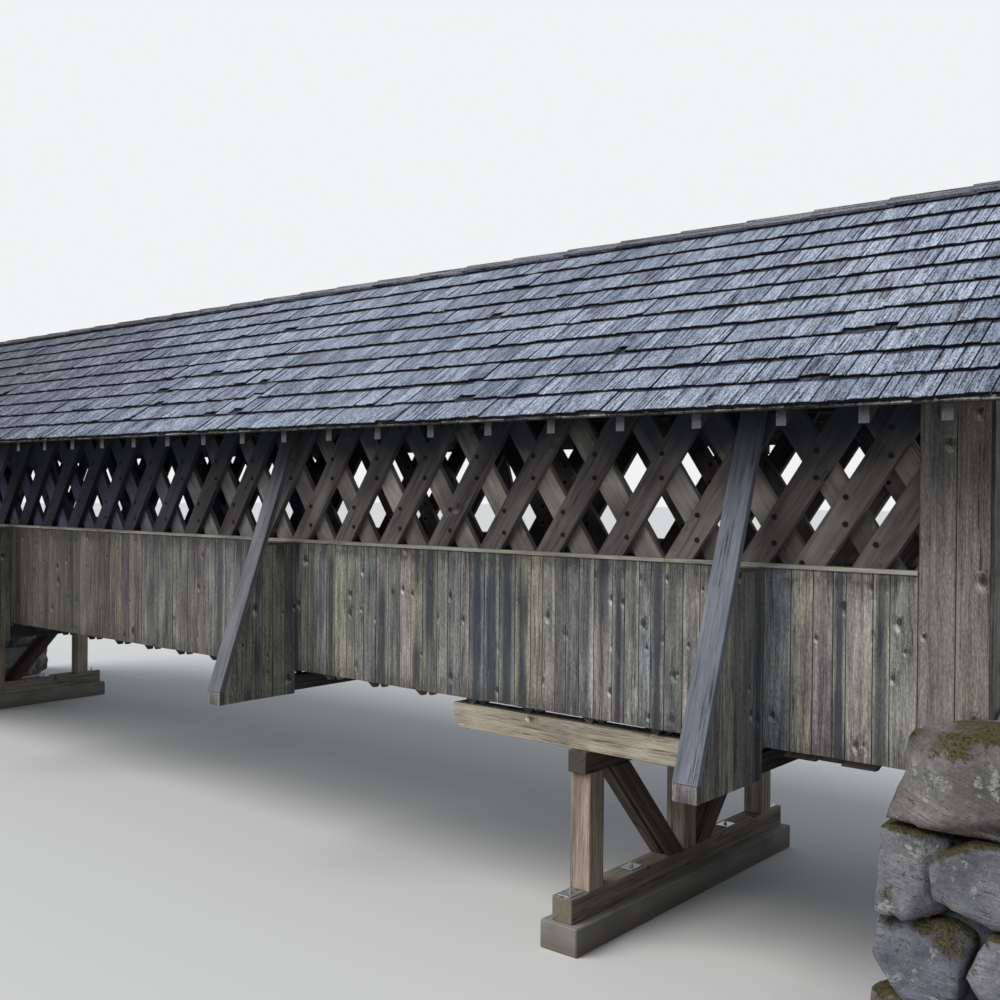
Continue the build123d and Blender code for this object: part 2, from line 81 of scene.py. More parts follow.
class Finish:
    """The nodes of one material, or of the world."""

    def __init__(self, name, data=bpy.data.materials):
        self.owner = data.new(name)
        self.owner.use_nodes = True
        self.tree = self.owner.node_tree
        self.tree.nodes.clear()

    def add(self, kind, settings=None, sockets=None, out=0):
        node = self.tree.nodes.new("ShaderNode" + kind)
        for key, value in (settings or {}).items():
            if key == "stops":
                elements = node.color_ramp.elements
                while len(elements) < len(value):
                    elements.new(0.5)
                for element, (place, colour) in zip(elements, value):
                    element.position = place
                    element.color = (*colour, 1)
            else:
                setattr(node, key, value)
        for key, value in (sockets or {}).items():
            if isinstance(value, Wire):
                self.tree.links.new(value.socket, node.inputs[key])
            else:
                node.inputs[key].default_value = value
        return Wire(self, node.outputs[out]) if node.outputs else node

    def number(self, name):
        return self.add("Attribute", {"attribute_name": name}, out="Fac")

    def split(self, vector):
        node = self.add("SeparateXYZ", None, {0: vector}).socket.node
        return [Wire(self, output) for output in node.outputs]

    def vector(self, name):
        return self.split(self.add("Attribute", {"attribute_name": name}, out="Vector"))

    def place(self):
        return self.split(self.add("TexCoord", out="Object"))

    def facing(self):
        return self.split(self.add("NewGeometry", out="Normal"))

    def join(self, x, y, z):
        return self.add("CombineXYZ", None, {0: x, 1: y, 2: z})

    def noise(self, x, y, z, detail=2.0, rough=0.5):
        return self.add("TexNoise", None, {"Vector": self.join(x, y, z), "Scale": 1.0, "Detail": detail,
                                           "Roughness": rough, "Distortion": 0.0})

    def even_noise(self, place, scale, detail=2.0, rough=0.5):
        return self.noise(*(c * scale for c in place), detail, rough)

    def cells(self, x, y, z, dimensions="3D"):
        node = self.add("TexVoronoi", {"voronoi_dimensions": dimensions},
                        {"Vector": self.join(x, y, z), "Scale": 1.0}).socket.node
        return Wire(self, node.outputs["Distance"]), self.split(Wire(self, node.outputs["Color"]))

    def ramp(self, factor, *stops):
        return self.add("ValToRGB", {"stops": stops}, {0: factor})

    def mix(self, factor, first, second, blend="MIX"):
        first, second = [c if isinstance(c, Wire) else (*c, 1) for c in (first, second)]
        return self.add("Mix", {"data_type": "RGBA", "blend_type": blend}, {0: factor, 6: first, 7: second}, out=2)

    def coats(self, colour, *coats):
        """The colour under coats laid on in turn, each with its amount."""
        for amount, coat in coats:
            colour = self.mix(amount, colour, coat)
        return colour

    def shade(self, colour, level):
        """The colour made lighter or darker by a level or a tint."""
        return self.mix(1.0, colour, level if isinstance(level, Wire) else (level, level, level), "MULTIPLY")

    def seen_directly(self):
        """1 where the eye looks straight at something, or in a mirror or through glass, and 0 elsewhere."""
        rays = self.add("LightPath", out="Is Camera Ray").socket.node.outputs
        seen, mirrored, bent = [Wire(self, rays[name]) for name in
                                ("Is Camera Ray", "Is Glossy Ray", "Is Transmission Ray")]
        return seen.largest(mirrored).largest(bent)

    def surface(self, colour, rough, height, depth=0.003, strength=0.6, metal=0.0, specular=0.3):
        bump = self.add("Bump", None, {"Strength": strength, "Distance": depth, "Height": height})
        shader = self.add("BsdfPrincipled", None, {"Base Color": colour, "Roughness": rough, "Metallic": metal,
                                                   "Specular IOR Level": specular, "Normal": bump})
        self.add("OutputMaterial", None, {"Surface": shader})
        return self.owner


def wood(name, tones, streaks=0.4, fibres=0.25, knots=0.86, end_colour=(0.16, 0.12, 0.08),
         dark=(0.02, 0.019, 0.018), rough=0.85, depth=0.003, extra=None, flat=False):
    """Sawn timber: the grain runs along each length of stock, whose tone is its own.

    Flat stock has its knots right through. A share of the cells, above knots, holds one.
    """
    f = Finish(name)
    u, v, w = f.vector("grain")
    _, width, thickness = f.vector("stock")
    tone, end = f.number("tone"), f.number("end")
    shift = tone * 83.0
    places = ((u + shift * 3.1) * 4.6, (v + shift * 1.7) * 7.0, w * 7.0)
    dimensions = "2D" if flat else "3D"
    distance, (pick, bulk, _) = f.cells(*places, dimensions)
    beyond, _ = f.cells(places[0] + 0.12, places[1] + 0.05, places[2], dimensions)
    here = pick.over(knots)
    beside_knot = (beyond - distance).ease(-0.04, -0.11) * here
    distance = distance / (0.65 + bulk * 1.1)
    core = distance.ease(0.16, 0.07) * here
    halo = distance.ease(0.42, 0.12) * here
    sway = (f.noise((u + shift) * 0.9, v * 2.0 + shift, w * 2.0) - 0.5) * 0.06 + halo * 0.022
    across, thick = v + sway, w + sway
    wide = f.noise((u + shift) * 0.5, across * 19.0 + shift, thick * 19.0, 3.0, 0.6).ease(0.3, 0.7)
    fine = f.noise((u - shift) * 3.0, across * 95.0, thick * 95.0 + shift, 4.0, 0.75).ease(0.3, 0.7)
    blotch = f.noise((u + shift) * 1.5, v * 5.0 - shift, w * 5.0, 3.0).ease(0.3, 0.7)
    colour = f.ramp(tone * 0.72 + blotch * 0.28, *tones)
    colour = f.shade(colour, 1.0 + (wide - 0.5) * (2.0 * streaks) + (fine - 0.5) * (2.0 * fibres)
                     + (blotch - 0.5) * 0.3)
    crack = wide.ease(0.30, 0.08) * fine.ease(0.45, 0.15)
    colour = f.mix(crack * 0.8, colour, dark)
    swirl = (distance * 62.0 + shift).sine() * halo
    crescent = distance.ease(0.34, 0.20) * beside_knot
    colour = f.shade(colour, 1.0 - halo * 0.25 + swirl * 0.28 + crescent * 1.1)
    beside, above = across - width * 0.5, thick - thickness * 0.5
    rings = ((beside * beside + above * above).root() * 700.0 + shift).sine() * 0.5 + 0.5
    check = f.noise(beside.bearing(above) * 2.6, shift, 0.0, 3.0, 0.6).ease(0.40, 0.34)
    butt = f.shade(f.mix(rings * 0.22, end_colour, dark), 0.75 + fine * 0.5)
    colour = f.coats(colour, (core * 0.8, dark), (end * 0.85, f.mix(check * 0.8, butt, dark)))
    height = wide * 0.5 + fine * 0.5 - crack * 0.6 - core * 0.2 + swirl * 0.1 - check * end * 0.6
    if extra:
        colour, height = extra(f, colour, height, (u, v, w), tone)
    return f.surface(colour, rough + (fine - 0.5) * 0.15, height, depth)


WHITE = (1.0, 1.0, 1.0)
BOARD_HUES = [(0.0, (1.0, 0.92, 0.88)), (0.25, (0.95, 0.92, 0.90)), (0.5, (1.0, 1.0, 0.78)),
              (0.7, (0.93, 0.94, 0.86)), (1.0, (0.83, 0.88, 0.94))]


def boards(top=(3.60, 3.80), foot=(2.42, 2.28), level=0.43, painted_shade_and_contrast=1.0, hearts=0.85):
    """Weather and painted light on boards: each its own hue, a painted highlight along one edge, a blue-black heart
    in some, painted shade at the top under the rail cap broken into streaks, a splashed foot.

    Boards can also carry painted tree shade: darker and browner towards the bridge's left end, lighter at its right
    end, and less even to the left.
    """
    def weather(f, colour, height, grain, tone):
        u, v, _ = grain
        length, width, _ = f.vector("stock")
        x, y, z = f.place()
        plan = x + y
        pick, hue = (tone * 57.7).part(), (tone * 131.3).part()
        tint = f.ramp(hue, *BOARD_HUES)
        cloud = f.noise(plan * 5.0, z * 4.5, tone * 9.0, 4.0, 0.65).ease(0.35, 0.65)
        fleck = f.noise(plan * 70.0, z * 24.0, tone * 60.0, 4.0, 0.75).ease(0.36, 0.64)
        # Painted tree shade: darker and browner towards the left end, lighter towards the right end. Boards also
        # vary more in tone to the left.
        painted_light_level = level + (x.ease(-5.5, 4.5) * 0.83 + x.ease(7.5, 10.5) * 0.42) * painted_shade_and_contrast
        uneven = 1.0 + x.ease(4.0, -3.0) * ((pick - 0.5) * 0.9 - 0.08) * painted_shade_and_contrast
        colour = f.shade(f.shade(colour, tint), painted_light_level * uneven * (0.80 + fleck * 0.62))
        colour = f.shade(colour, f.mix(x.ease(2.5, -4.0) * painted_shade_and_contrast, WHITE, (1.0, 0.87, 0.81)))
        run = f.noise(plan * 28.0, z * 0.9, 3.0 + tone * 20.0, 3.0, 0.6).ease(0.44, 0.7)
        heart = (abs(v / width - 0.5) + (f.noise(z * 0.8, tone * 50.0, 0.0, 4.0) - 0.5) * 0.5).ease(0.42, 0.16)
        stretch = f.noise(z * 0.55, tone * 90.0, 5.0).ease(0.36, 0.52)
        chosen = pick.ease(0.4, 0.7) * (0.3 + x.ease(-1.0, 4.0) * 0.7) * hearts
        # Painted highlight along one edge of some boards.
        edge_highlight = (v + (cloud - 0.5) * 0.006).ease(0.020, 0.006) * pick.ease(0.75, 0.3)
        pale = f.noise(plan * 14.0, z * 2.6, 7.0, 4.0, 0.7).ease(0.56, 0.7)
        fringe = f.noise(plan * 75.0, z * 3.0, tone * 40.0, 3.0, 0.7).ease(0.35, 0.65)
        # Darker top under the rail cap (under the eave on corner boards): painted shade, broken into streaks.
        under = (z + (fringe - 0.5) * 0.16 + (cloud - 0.5) * 0.1).ease(*top)
        splash = (z + (fringe - 0.5) * 0.28).ease(*foot)
        seam = v.smallest(width - v).ease(0.006, 0.001)
        nail_row = abs(u.smallest(length - u) - 0.085)
        nail_file = abs(abs(v - width * 0.5) - width * 0.28)
        nail = (nail_row * nail_row + nail_file * nail_file).root()
        colour = f.coats(
            colour, (run * 0.35, (0.05, 0.05, 0.055)), (heart * stretch * chosen, (0.045, 0.052, 0.068)),
            (edge_highlight * 0.55, (0.32, 0.325, 0.275)), (pale * 0.3, (0.36, 0.35, 0.345)),
            (under * (0.35 + cloud * 0.4), (0.045, 0.042, 0.045)), (splash * 0.55, (0.06, 0.055, 0.05)),
            (seam * 0.7, (0.02, 0.02, 0.02)), (nail.ease(0.007, 0.004) * 0.85, (0.03, 0.02, 0.015)))
        return colour, height + fleck * 0.3
    return weather


def eave_shade_and_weather(f, colour, height, grain, tone):
    """Lattice planks: painted shade, blue-black under the eaves; paler low down on their outer faces, part rain
    weathering and part painted light below the eave's shadow; painted tree shade to the left.
    """
    x, y, z = f.place()
    cloud = f.noise(x * 1.6, y * 3.0, z * 1.6, 3.0).ease(0.3, 0.7)
    # Paler low on the outer faces: rain weathering, with painted light where the eave's shadow ends.
    low = (z + (cloud - 0.5) * 0.6).ease(5.1, 4.1)
    high = (z + (cloud - 0.5) * 0.3).ease(4.55, 5.15)
    out = abs(y).ease(1.60, 1.75)
    pale = f.shade(f.mix(0.5, f.shade(colour, 2.2), (0.42, 0.38, 0.305)), 0.65 + cloud * 0.7)
    colour = f.mix(low * out * tone.ease(0.3, 0.7), colour, pale)
    # Painted tree shade: dark and blue to the left, brightest in the middle, a little less at the right end.
    daylight = x.ease(-1.5, 5.5)
    level = f.mix(x.ease(9.4, 10.2), f.mix(daylight, (0.20, 0.22, 0.44), (1.95, 2.0, 2.2)), (1.45, 1.45, 1.55))
    colour = f.shade(colour, level)
    foot = (z + (cloud - 0.5) * 0.3).ease(4.55, 4.0)
    colour = f.shade(colour, 1.0 - foot * daylight * (0.15 + tone.ease(0.4, 0.6) * 0.55))
    # Painted shade under the eaves: blue-black towards the top.
    return f.mix(high * 0.9, colour, (0.020, 0.029, 0.048)), height


def darker_to_the_left(f, colour, height, grain, tone):
    """Rail caps: painted tree shade, darker towards the bridge's left end."""
    x, _, _ = f.place()
    return f.shade(colour, f.mix(x.ease(-6.0, 3.0), (0.42, 0.40, 0.42), WHITE)), height


def browner_with_eave_shade(f, colour, height, grain, tone):
    """Brace planks: browner along the bridge's left half, and painted shade, dark towards the top under the eave.
    """
    x, _, z = f.place()
    browner = f.shade(colour, f.ramp(tone, (0.0, (0.80, 0.76, 0.72)), (1.0, (0.86, 0.80, 0.75))))
    colour = f.mix(x.ease(8.0, 5.0), colour, browner)
    # Painted shade under the eave.
    return f.mix(z.ease(4.65, 5.25) * 0.8, colour, (0.016, 0.018, 0.025)), height


CHECK_DARK = (0.02, 0.022, 0.03)
# Dark of the joints between shakes, also used for painted shadow at the butts.
JOINT_AND_SHADOW_DARK = (0.012, 0.013, 0.018)


def split_shakes(name, tones, brown, shown=0.325, joints_and_shadow=0.75):
    """Split and weathered shakes: deep fibres down the slope, grey grit, dark checks and joints, painted shadow at
    and below the butts with butt faces near black, and painted tree shade towards the left end.
    """
    f = Finish(name)
    u, v, w = f.vector("grain")
    length, width, _ = f.vector("stock")
    tone, end = f.number("tone"), f.number("end")
    shift = tone * 83.0
    wander = (f.noise((u + shift) * 2.5, v * 4.0 + shift, 0.0) - 0.5) * 0.03
    across = v + wander
    groove = f.noise((u + shift) * 1.6, across * 40.0 + shift, w * 20.0, 3.0, 0.65).ease(0.3, 0.7)
    fine = f.noise((u - shift) * 9.0, across * 120.0, w * 60.0 + shift, 4.0, 0.75).ease(0.32, 0.68)
    pit = f.noise((u + shift) * 48.0, v * 70.0, w * 30.0, 3.0, 0.7).ease(0.40, 0.60)
    x, y, z = f.place()
    patch = f.noise(x * 0.35, y * 0.5, z * 0.5, 4.0, 0.65).ease(0.3, 0.7)
    colour = f.ramp(tone * 0.55 + patch * 0.45, *tones)
    stain = f.noise((u + shift) * 2.4, v * 7.0 + shift, 1.0, 3.0).ease(0.50, 0.70)
    colour = f.mix(stain * (0.2 + patch * 0.45 + x.ease(2.0, -4.0) * 0.3), colour, brown)
    # Painted tree shade: darker towards the left end, where the grain also shows harder.
    harsh = 1.0 + x.ease(6.0, -2.0) * 0.9
    colour = f.shade(colour, (1.0 + ((groove - 0.5) * 0.9 + (fine - 0.5) * 0.85 + (pit - 0.5) * 0.9) * harsh)
                     * (0.47 + x.ease(-5.5, 4.0) * 0.60))
    split = groove.ease(0.22, 0.04)
    slit = fine.ease(0.20, 0.04) * groove.ease(0.6, 0.2)
    joint = v.smallest(width - v).ease(0.007, 0.001)
    # Painted shadow: a dark line along each butt, a dark band below the next course's butts, and butt faces near
    # black.
    fringe = (length - u + (fine - 0.5) * 0.035).ease(0.016, 0.004)
    butt_shadow = (length - u).ease(shown, shown + 0.02)
    colour = f.coats(colour, (split * 0.75, CHECK_DARK), (slit * 0.7, CHECK_DARK), (joint * joints_and_shadow, JOINT_AND_SHADOW_DARK),
                     (butt_shadow * 0.85, JOINT_AND_SHADOW_DARK), (fringe * joints_and_shadow, JOINT_AND_SHADOW_DARK),
                     (end * 0.95, (0.006, 0.006, 0.008)))
    height = groove * 0.6 + fine * 0.3 + pit * 0.25 - split * 0.5 - slit * 0.3
    return f.surface(colour, 0.8 + (fine - 0.5) * 0.2, height, 0.006, 0.9, specular=0.1)


def field_stone():
    """Rough field stone: blue-grey or tan by stone, streaked by its beds, with lichen crusts and moss on top."""
    f = Finish("field_stone")
    place = x, y, z = f.place()
    tone = f.number("tone")
    up = f.facing()[2]
    bed = z * 3.0 + x * (tone - 0.5) * 2.0 + y * 0.4
    cloud = f.noise(x * 2.2 + tone * 31.0, y * 2.2, z * 2.2, 5.0, 0.6)
    beds = f.noise(x * 1.2 + tone * 11.0, y * 1.2, bed * 5.0, 5.0, 0.7)
    speck = f.even_noise(place, 42.0, 4.0, 0.8)
    grit = f.even_noise(place, 11.0, 5.0, 0.75)
    blue = f.ramp(cloud, (0.3, (0.13, 0.133, 0.165)), (0.5, (0.225, 0.228, 0.27)), (0.7, (0.35, 0.35, 0.38)))
    tan = f.ramp(cloud, (0.3, (0.125, 0.115, 0.11)), (0.5, (0.21, 0.198, 0.188)), (0.7, (0.32, 0.305, 0.29)))
    colour = f.mix((tone + (beds - 0.5) * 0.9).ease(0.5, 1.05), blue, tan)
    colour = f.shade(colour, speck * 1.0 + grit * 1.6 + beds * 0.8 - 0.75)
    seam = abs(beds - 0.5).ease(0.010, 0.001) * grit.ease(0.5, 0.6)
    crusted = f.noise(x * 6.0 + 40.0, y * 6.0, z * 6.0, 4.0, 0.7).ease(0.56, 0.66)
    crust = (grit * 0.6 + f.noise(x * 4.0, y * 4.0, z * 4.0 + 9.0, 3.0) * 0.6).ease(0.67, 0.71)
    lichen = f.mix(speck, (0.34, 0.355, 0.34), (0.60, 0.61, 0.58))
    moss = (up + (grit - 0.5) * 2.6).ease(0.35, 0.8) * f.even_noise(place, 1.6, 4.0).ease(0.32, 0.42)
    green = f.mix(speck.ease(0.35, 0.65), (0.03, 0.026, 0.013), (0.17, 0.155, 0.055))
    colour = f.coats(colour, (seam * 0.45, (0.05, 0.05, 0.055)), (crusted * 0.5, (0.07, 0.07, 0.075)),
                     (crust * 0.75, lichen), (moss * 0.95, green))
    height = cloud * 0.3 + beds * 0.5 + grit * 0.6 + speck * 0.25 - seam * 0.6 + crust * 0.1 + moss * 0.5 * speck
    return f.surface(colour, 0.9 + (speck - 0.5) * 0.1, height, 0.035, 0.9, specular=0.2)


def cast_footing():
    f = Finish("cast_footing")
    place = x, y, z = f.place()
    cloud = f.noise(x * 1.5, y * 1.5, z * 3.0, 5.0, 0.6)
    grit = f.even_noise(place, 60.0, 3.0, 0.7)
    colour = f.ramp(cloud, (0.3, (0.20, 0.19, 0.175)), (0.7, (0.36, 0.345, 0.315)))
    colour = f.shade(colour, 0.8 + grit * 0.4)
    soil = (0.30 - z + (cloud - 0.5) * 0.25).ease(0.12, 0.26)
    colour = f.mix(soil * 0.55, colour, (0.17, 0.125, 0.085))
    lift = (z * 24.0 + cloud).sine().ease(0.9, 1.0)
    return f.surface(colour, 0.9 + (grit - 0.5) * 0.1, cloud * 0.3 + grit * 0.5 - lift * 0.3, 0.004, 0.7)


def galvanised():
    f = Finish("galvanised_plate")
    place = f.place()
    flower, (tint, _, _) = f.cells(*(c * 90.0 for c in place))
    rust = f.even_noise(place, 30.0, 4.0).ease(0.55, 0.7)
    colour = f.mix(tint * 0.6, (0.36, 0.38, 0.40), (0.52, 0.54, 0.56))
    colour = f.mix(rust * 0.7, colour, (0.13, 0.065, 0.035))
    return f.surface(colour, 0.42 + rust * 0.4, flower * 0.3 + rust, 0.0006, 0.4, 0.75 - rust * 0.6)


def even_stops(*colours):
    """A colour ramp with its stops at even steps."""
    return [(i / (len(colours) - 1), colour) for i, colour in enumerate(colours)]


SIDING_TONES = [(0.05, (0.133, 0.137, 0.150)), (0.3, (0.172, 0.172, 0.173)), (0.5, (0.21, 0.207, 0.193)),
                (0.75, (0.24, 0.233, 0.226)), (0.95, (0.30, 0.296, 0.288))]
CORNER_TONES = [(0.1, (0.215, 0.19, 0.178)), (0.5, (0.26, 0.232, 0.217)), (0.9, (0.30, 0.27, 0.253))]
LATTICE_TONES = [(0.0, (0.078, 0.067, 0.060)), (0.45, (0.110, 0.095, 0.084)), (1.0, (0.21, 0.188, 0.152))]
SHAKE_TONES = [(0.1, (0.205, 0.238, 0.31)), (0.45, (0.295, 0.34, 0.435)), (0.9, (0.41, 0.465, 0.565))]
RIDGE_TONES = [(0.1, (0.135, 0.14, 0.165)), (0.5, (0.19, 0.195, 0.225)), (0.9, (0.26, 0.265, 0.30))]
STARTER_TONES = [(0.1, (0.28, 0.27, 0.25)), (0.9, (0.46, 0.44, 0.41))]
BOARD_END = (0.12, 0.10, 0.08)

siding_wood = wood("weathered_siding", SIDING_TONES, 0.27, 0.42, 0.88, BOARD_END, extra=boards(), flat=True)
cheek_wood = wood("weathered_cheek_boards", SIDING_TONES, 0.3, 0.42, 0.88, BOARD_END,
                  extra=boards((9.0, 9.5), (-2.0, -2.5), 1.22, 0.0), flat=True)
corner_wood = wood("corner_board_stock", CORNER_TONES, 0.2, 0.36, 0.93, BOARD_END,
                   extra=boards((4.9, 5.5), (2.42, 2.28), 1.0, 0.0, 0.3), flat=True)
lattice_wood = wood("dark_lattice", LATTICE_TONES, 0.25, 0.38, 0.88, (0.08, 0.065, 0.05), extra=eave_shade_and_weather)
peg_wood = wood("lattice_peg", even_stops((0.008, 0.007, 0.007), (0.02, 0.016, 0.013)),
                0.3, 0.2, 1.1, (0.012, 0.010, 0.009))
# Frame timbers and rafters: dark stock, darkened further as painted shade under the roof.
frame_wood = wood("dark_frame", even_stops((0.032, 0.032, 0.036), (0.052, 0.050, 0.051), (0.080, 0.073, 0.067)),
                  0.4, 0.3, 0.9, (0.07, 0.055, 0.04))
rafter_wood = wood("rafter_stock", even_stops((0.03, 0.027, 0.026), (0.045, 0.04, 0.037), (0.06, 0.052, 0.046)),
                   0.4, 0.3, 0.9, (0.19, 0.182, 0.195), (0.04, 0.04, 0.045))
brace_wood = wood("grey_brace_plank", even_stops((0.16, 0.172, 0.205), (0.195, 0.21, 0.25), (0.235, 0.25, 0.29)),
                  0.18, 0.24, 0.97, (0.13, 0.12, 0.11), extra=browner_with_eave_shade)
pale_wood = wood("new_bolster", even_stops((0.40, 0.35, 0.27), (0.475, 0.42, 0.33), (0.54, 0.48, 0.385)),
                 0.12, 0.3, 0.76, (0.4, 0.33, 0.22), (0.10, 0.065, 0.04), 0.75)
post_wood = wood("bent_timber", even_stops((0.30, 0.24, 0.19), (0.39, 0.315, 0.255), (0.45, 0.375, 0.31)),
                 0.3, 0.36, 0.9, (0.28, 0.235, 0.18), (0.06, 0.035, 0.025))
sill_wood = wood("bent_sill_timber", even_stops((0.20, 0.175, 0.145), (0.26, 0.23, 0.19), (0.33, 0.30, 0.255)),
                 0.34, 0.3, 0.88, (0.27, 0.225, 0.17), (0.045, 0.035, 0.028))
# Caps and slanted braces: dark timber; on the caps the dark is partly painted shade from the bolsters above.
dark_post_wood = wood("dark_bent_timber",
                      even_stops((0.065, 0.05, 0.043), (0.09, 0.072, 0.06), (0.13, 0.105, 0.085)),
                      0.4, 0.3, 0.9, (0.11, 0.085, 0.076), (0.02, 0.015, 0.012))
rail_wood = wood("rail_cap_stock", even_stops((0.34, 0.335, 0.285), (0.41, 0.40, 0.345), (0.48, 0.47, 0.41)),
                 0.3, 0.3, 0.95, extra=darker_to_the_left)
deck_wood = wood("deck_plank", even_stops((0.11, 0.095, 0.08), (0.17, 0.15, 0.125), (0.23, 0.205, 0.17)),
                 0.4, 0.3, 0.86, BOARD_END)
shake_wood = split_shakes("silver_shakes", SHAKE_TONES, (0.24, 0.215, 0.22))
ridge_wood = split_shakes("ridge_boards", RIDGE_TONES, (0.18, 0.155, 0.15), 9.0, 0.25)
starter_wood = split_shakes("starter_shakes", STARTER_TONES, (0.2, 0.18, 0.16))
stone_face = field_stone()
footing_face = cast_footing()
plate_steel = galvanised()


# Mesh building

def touching(kind, verts):
    """The edges or faces that some points belong to, each once and always in the same order."""
    return list(dict.fromkeys(g for v in verts for g in getattr(v, "link_" + kind)))


def pairs(edges):
    return zip(edges, edges[1:])


class Piece:
    """One named piece of the bridge, built up from separate lengths of stock in one mesh."""

    def __init__(self, name):
        self.name = name
        self.draw = random.Random(name)
        self.vary = self.draw.uniform
        self.mesh = bmesh.new()
        self.grain = self.mesh.verts.layers.float_vector.new("grain")
        self.stock = self.mesh.verts.layers.float_vector.new("stock")
        self.tone = self.mesh.verts.layers.float.new("tone")
        self.end = self.mesh.faces.layers.float.new("end")

    def island(self, start):
        found, edge_of = {start: None}, [start]
        while edge_of:
            vert = edge_of.pop()
            for edge in vert.link_edges:
                other = edge.other_vert(vert)
                if other not in found:
                    found[other] = None
                    edge_of.append(other)
        return list(found)

    def mark(self, verts, along, across, tone=None):
        """Gives every point of one length of stock its place in it, for the materials."""
        along = along.normalized()
        across = (across - along * across.dot(along)).normalized()
        basis = (along, across, along.cross(across))
        places = [[v.co.dot(b) for b in basis] for v in verts]
        low = Vector([min(c) for c in zip(*places)])
        high = Vector([max(c) for c in zip(*places)])
        tone = self.draw.random() if tone is None else tone
        for v, place in zip(verts, places):
            v[self.grain] = Vector(place) - low
            v[self.stock] = high - low
            v[self.tone] = tone
        for face in touching("faces", verts):
            face.normal_update()
            face[self.end] = 1.0 if abs(face.normal.dot(along)) > 0.8 else 0.0
        return verts

    def soften(self, verts, edge, sharp=0.3):
        """Takes the sharp edges off one solid."""
        if not edge:
            return verts
        edges = [e for e in touching("edges", verts) if e.calc_face_angle(0) > sharp]
        made = bmesh.ops.bevel(self.mesh, geom=edges, offset=edge, offset_type="OFFSET", segments=1, profile=0.5,
                               affect="EDGES", material=-1, clamp_overlap=True)["verts"]
        return self.island(made[0])

    def divide(self, edges, cuts):
        """Cuts the edges of one solid into equal parts."""
        made = bmesh.ops.subdivide_edges(self.mesh, edges=edges, cuts=cuts, use_grid_fill=True)["geom_inner"]
        return self.island(next(g for g in made if isinstance(g, bmesh.types.BMVert)))

    def block(self, size, place):
        made = bmesh.ops.create_cube(self.mesh, size=1.0)["verts"]
        bmesh.ops.scale(self.mesh, vec=size, verts=made)
        bmesh.ops.transform(self.mesh, matrix=place, verts=made)
        return made

    def bar(self, low, high, along, edge=0.003, tone=None):
        """A squared length of stock between two corners."""
        low, high = Vector(low), Vector(high)
        size = high - low
        made = self.soften(self.block(size, Matrix.Translation((low + high) / 2)), edge)
        sideways = (a for a in AXES if abs(a.dot(along)) < 0.5)
        return self.mark(made, along, max(sideways, key=lambda a: abs(a.dot(size))), tone)

    def run(self, low, high, usual, edge):
        """Bars end to end along X, each of roughly the usual length."""
        for left, right in pairs(lengths(self.draw, low[0], high[0], usual)):
            self.bar((left + END_GAP, *low[1:]), (right - END_GAP, *high[1:]), X_AXIS, edge)

    def rod(self, centre, along, radius, length, sides):
        """A round or six-sided length along Y or Z."""
        turn = Matrix.Rotation(math.pi / 2 if along is Y_AXIS else 0.0, 4, "X")
        made = bmesh.ops.create_cone(self.mesh, cap_ends=True, segments=sides, radius1=radius, radius2=radius,
                                     depth=length, matrix=Matrix.Translation(centre) @ turn)["verts"]
        self.mark(made, along, X_AXIS)

    def plank(self, foot, head, facing, width, thickness, edge=0.003, tone=None):
        """A length of stock along a slanted line, its broad face turned to facing."""
        run = head - foot
        along = run.normalized()
        across = facing.cross(along).normalized()
        turn = Matrix((along, across, along.cross(across))).transposed().to_4x4()
        made = self.block((run.length, width, thickness), Matrix.Translation((foot + head) / 2) @ turn)
        return self.mark(self.soften(made, edge), along, across, tone)

    def slab(self, outline, depth, along, edge=0.003, tone=None):
        """A flat outline drawn at one face and carried through the stock's thickness."""
        base = [self.mesh.verts.new(p) for p in outline]
        face = self.mesh.faces.new(base)
        grown = bmesh.ops.extrude_face_region(self.mesh, geom=[face])["geom"]
        lifted = [g for g in grown if isinstance(g, bmesh.types.BMVert)]
        bmesh.ops.translate(self.mesh, vec=depth, verts=lifted)
        made = self.island(lifted[0])
        bmesh.ops.holes_fill(self.mesh, edges=touching("edges", made), sides=0)
        bmesh.ops.recalc_face_normals(self.mesh, faces=touching("faces", made))
        made = self.soften(made, edge)
        return self.mark(made, along, depth.cross(along), tone)

    def saw(self, verts, point, normal):
        """Cuts away what lies beyond a plane and closes the cut."""
        spans = [(v.co - point).dot(normal) for v in verts]
        if max(spans) <= 1e-5:
            return verts
        kept = verts[spans.index(min(spans))]
        geom = list(verts) + touching("edges", verts) + touching("faces", verts)
        cut = bmesh.ops.bisect_plane(self.mesh, geom=geom, dist=1e-6, plane_co=point, plane_no=normal,
                                     clear_outer=True)
        edges = [g for g in cut["geom_cut"] if isinstance(g, bmesh.types.BMEdge)]
        bmesh.ops.holes_fill(self.mesh, edges=edges, sides=0)
        return self.island(kept)

    def take(self, node, along, edge):
        """Copies the solids of a CAD node with their edges softened; along may depend on a solid's centre."""
        known = set(self.mesh.verts)
        self.mesh.from_mesh(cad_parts[node].data)
        fresh = [v for v in self.mesh.verts if v not in known]
        bmesh.ops.remove_doubles(self.mesh, verts=fresh, dist=1e-5)
        fresh = [v for v in self.mesh.verts if v not in known]
        bmesh.ops.dissolve_limit(self.mesh, angle_limit=0.01, use_dissolve_boundaries=False, verts=fresh,
                                 edges=touching("edges", fresh), delimit=set())
        fresh = dict.fromkeys(v for v in self.mesh.verts if v not in known)
        while fresh:
            solid = self.island(next(iter(fresh)))
            for v in solid:
                del fresh[v]
            centre = sum((v.co for v in solid), Vector()) / len(solid)
            solid = self.soften(solid, edge)
            way = along(centre) if callable(along) else along
            self.mark(solid, way, X_AXIS if abs(way.x) < 0.5 else Z_AXIS)

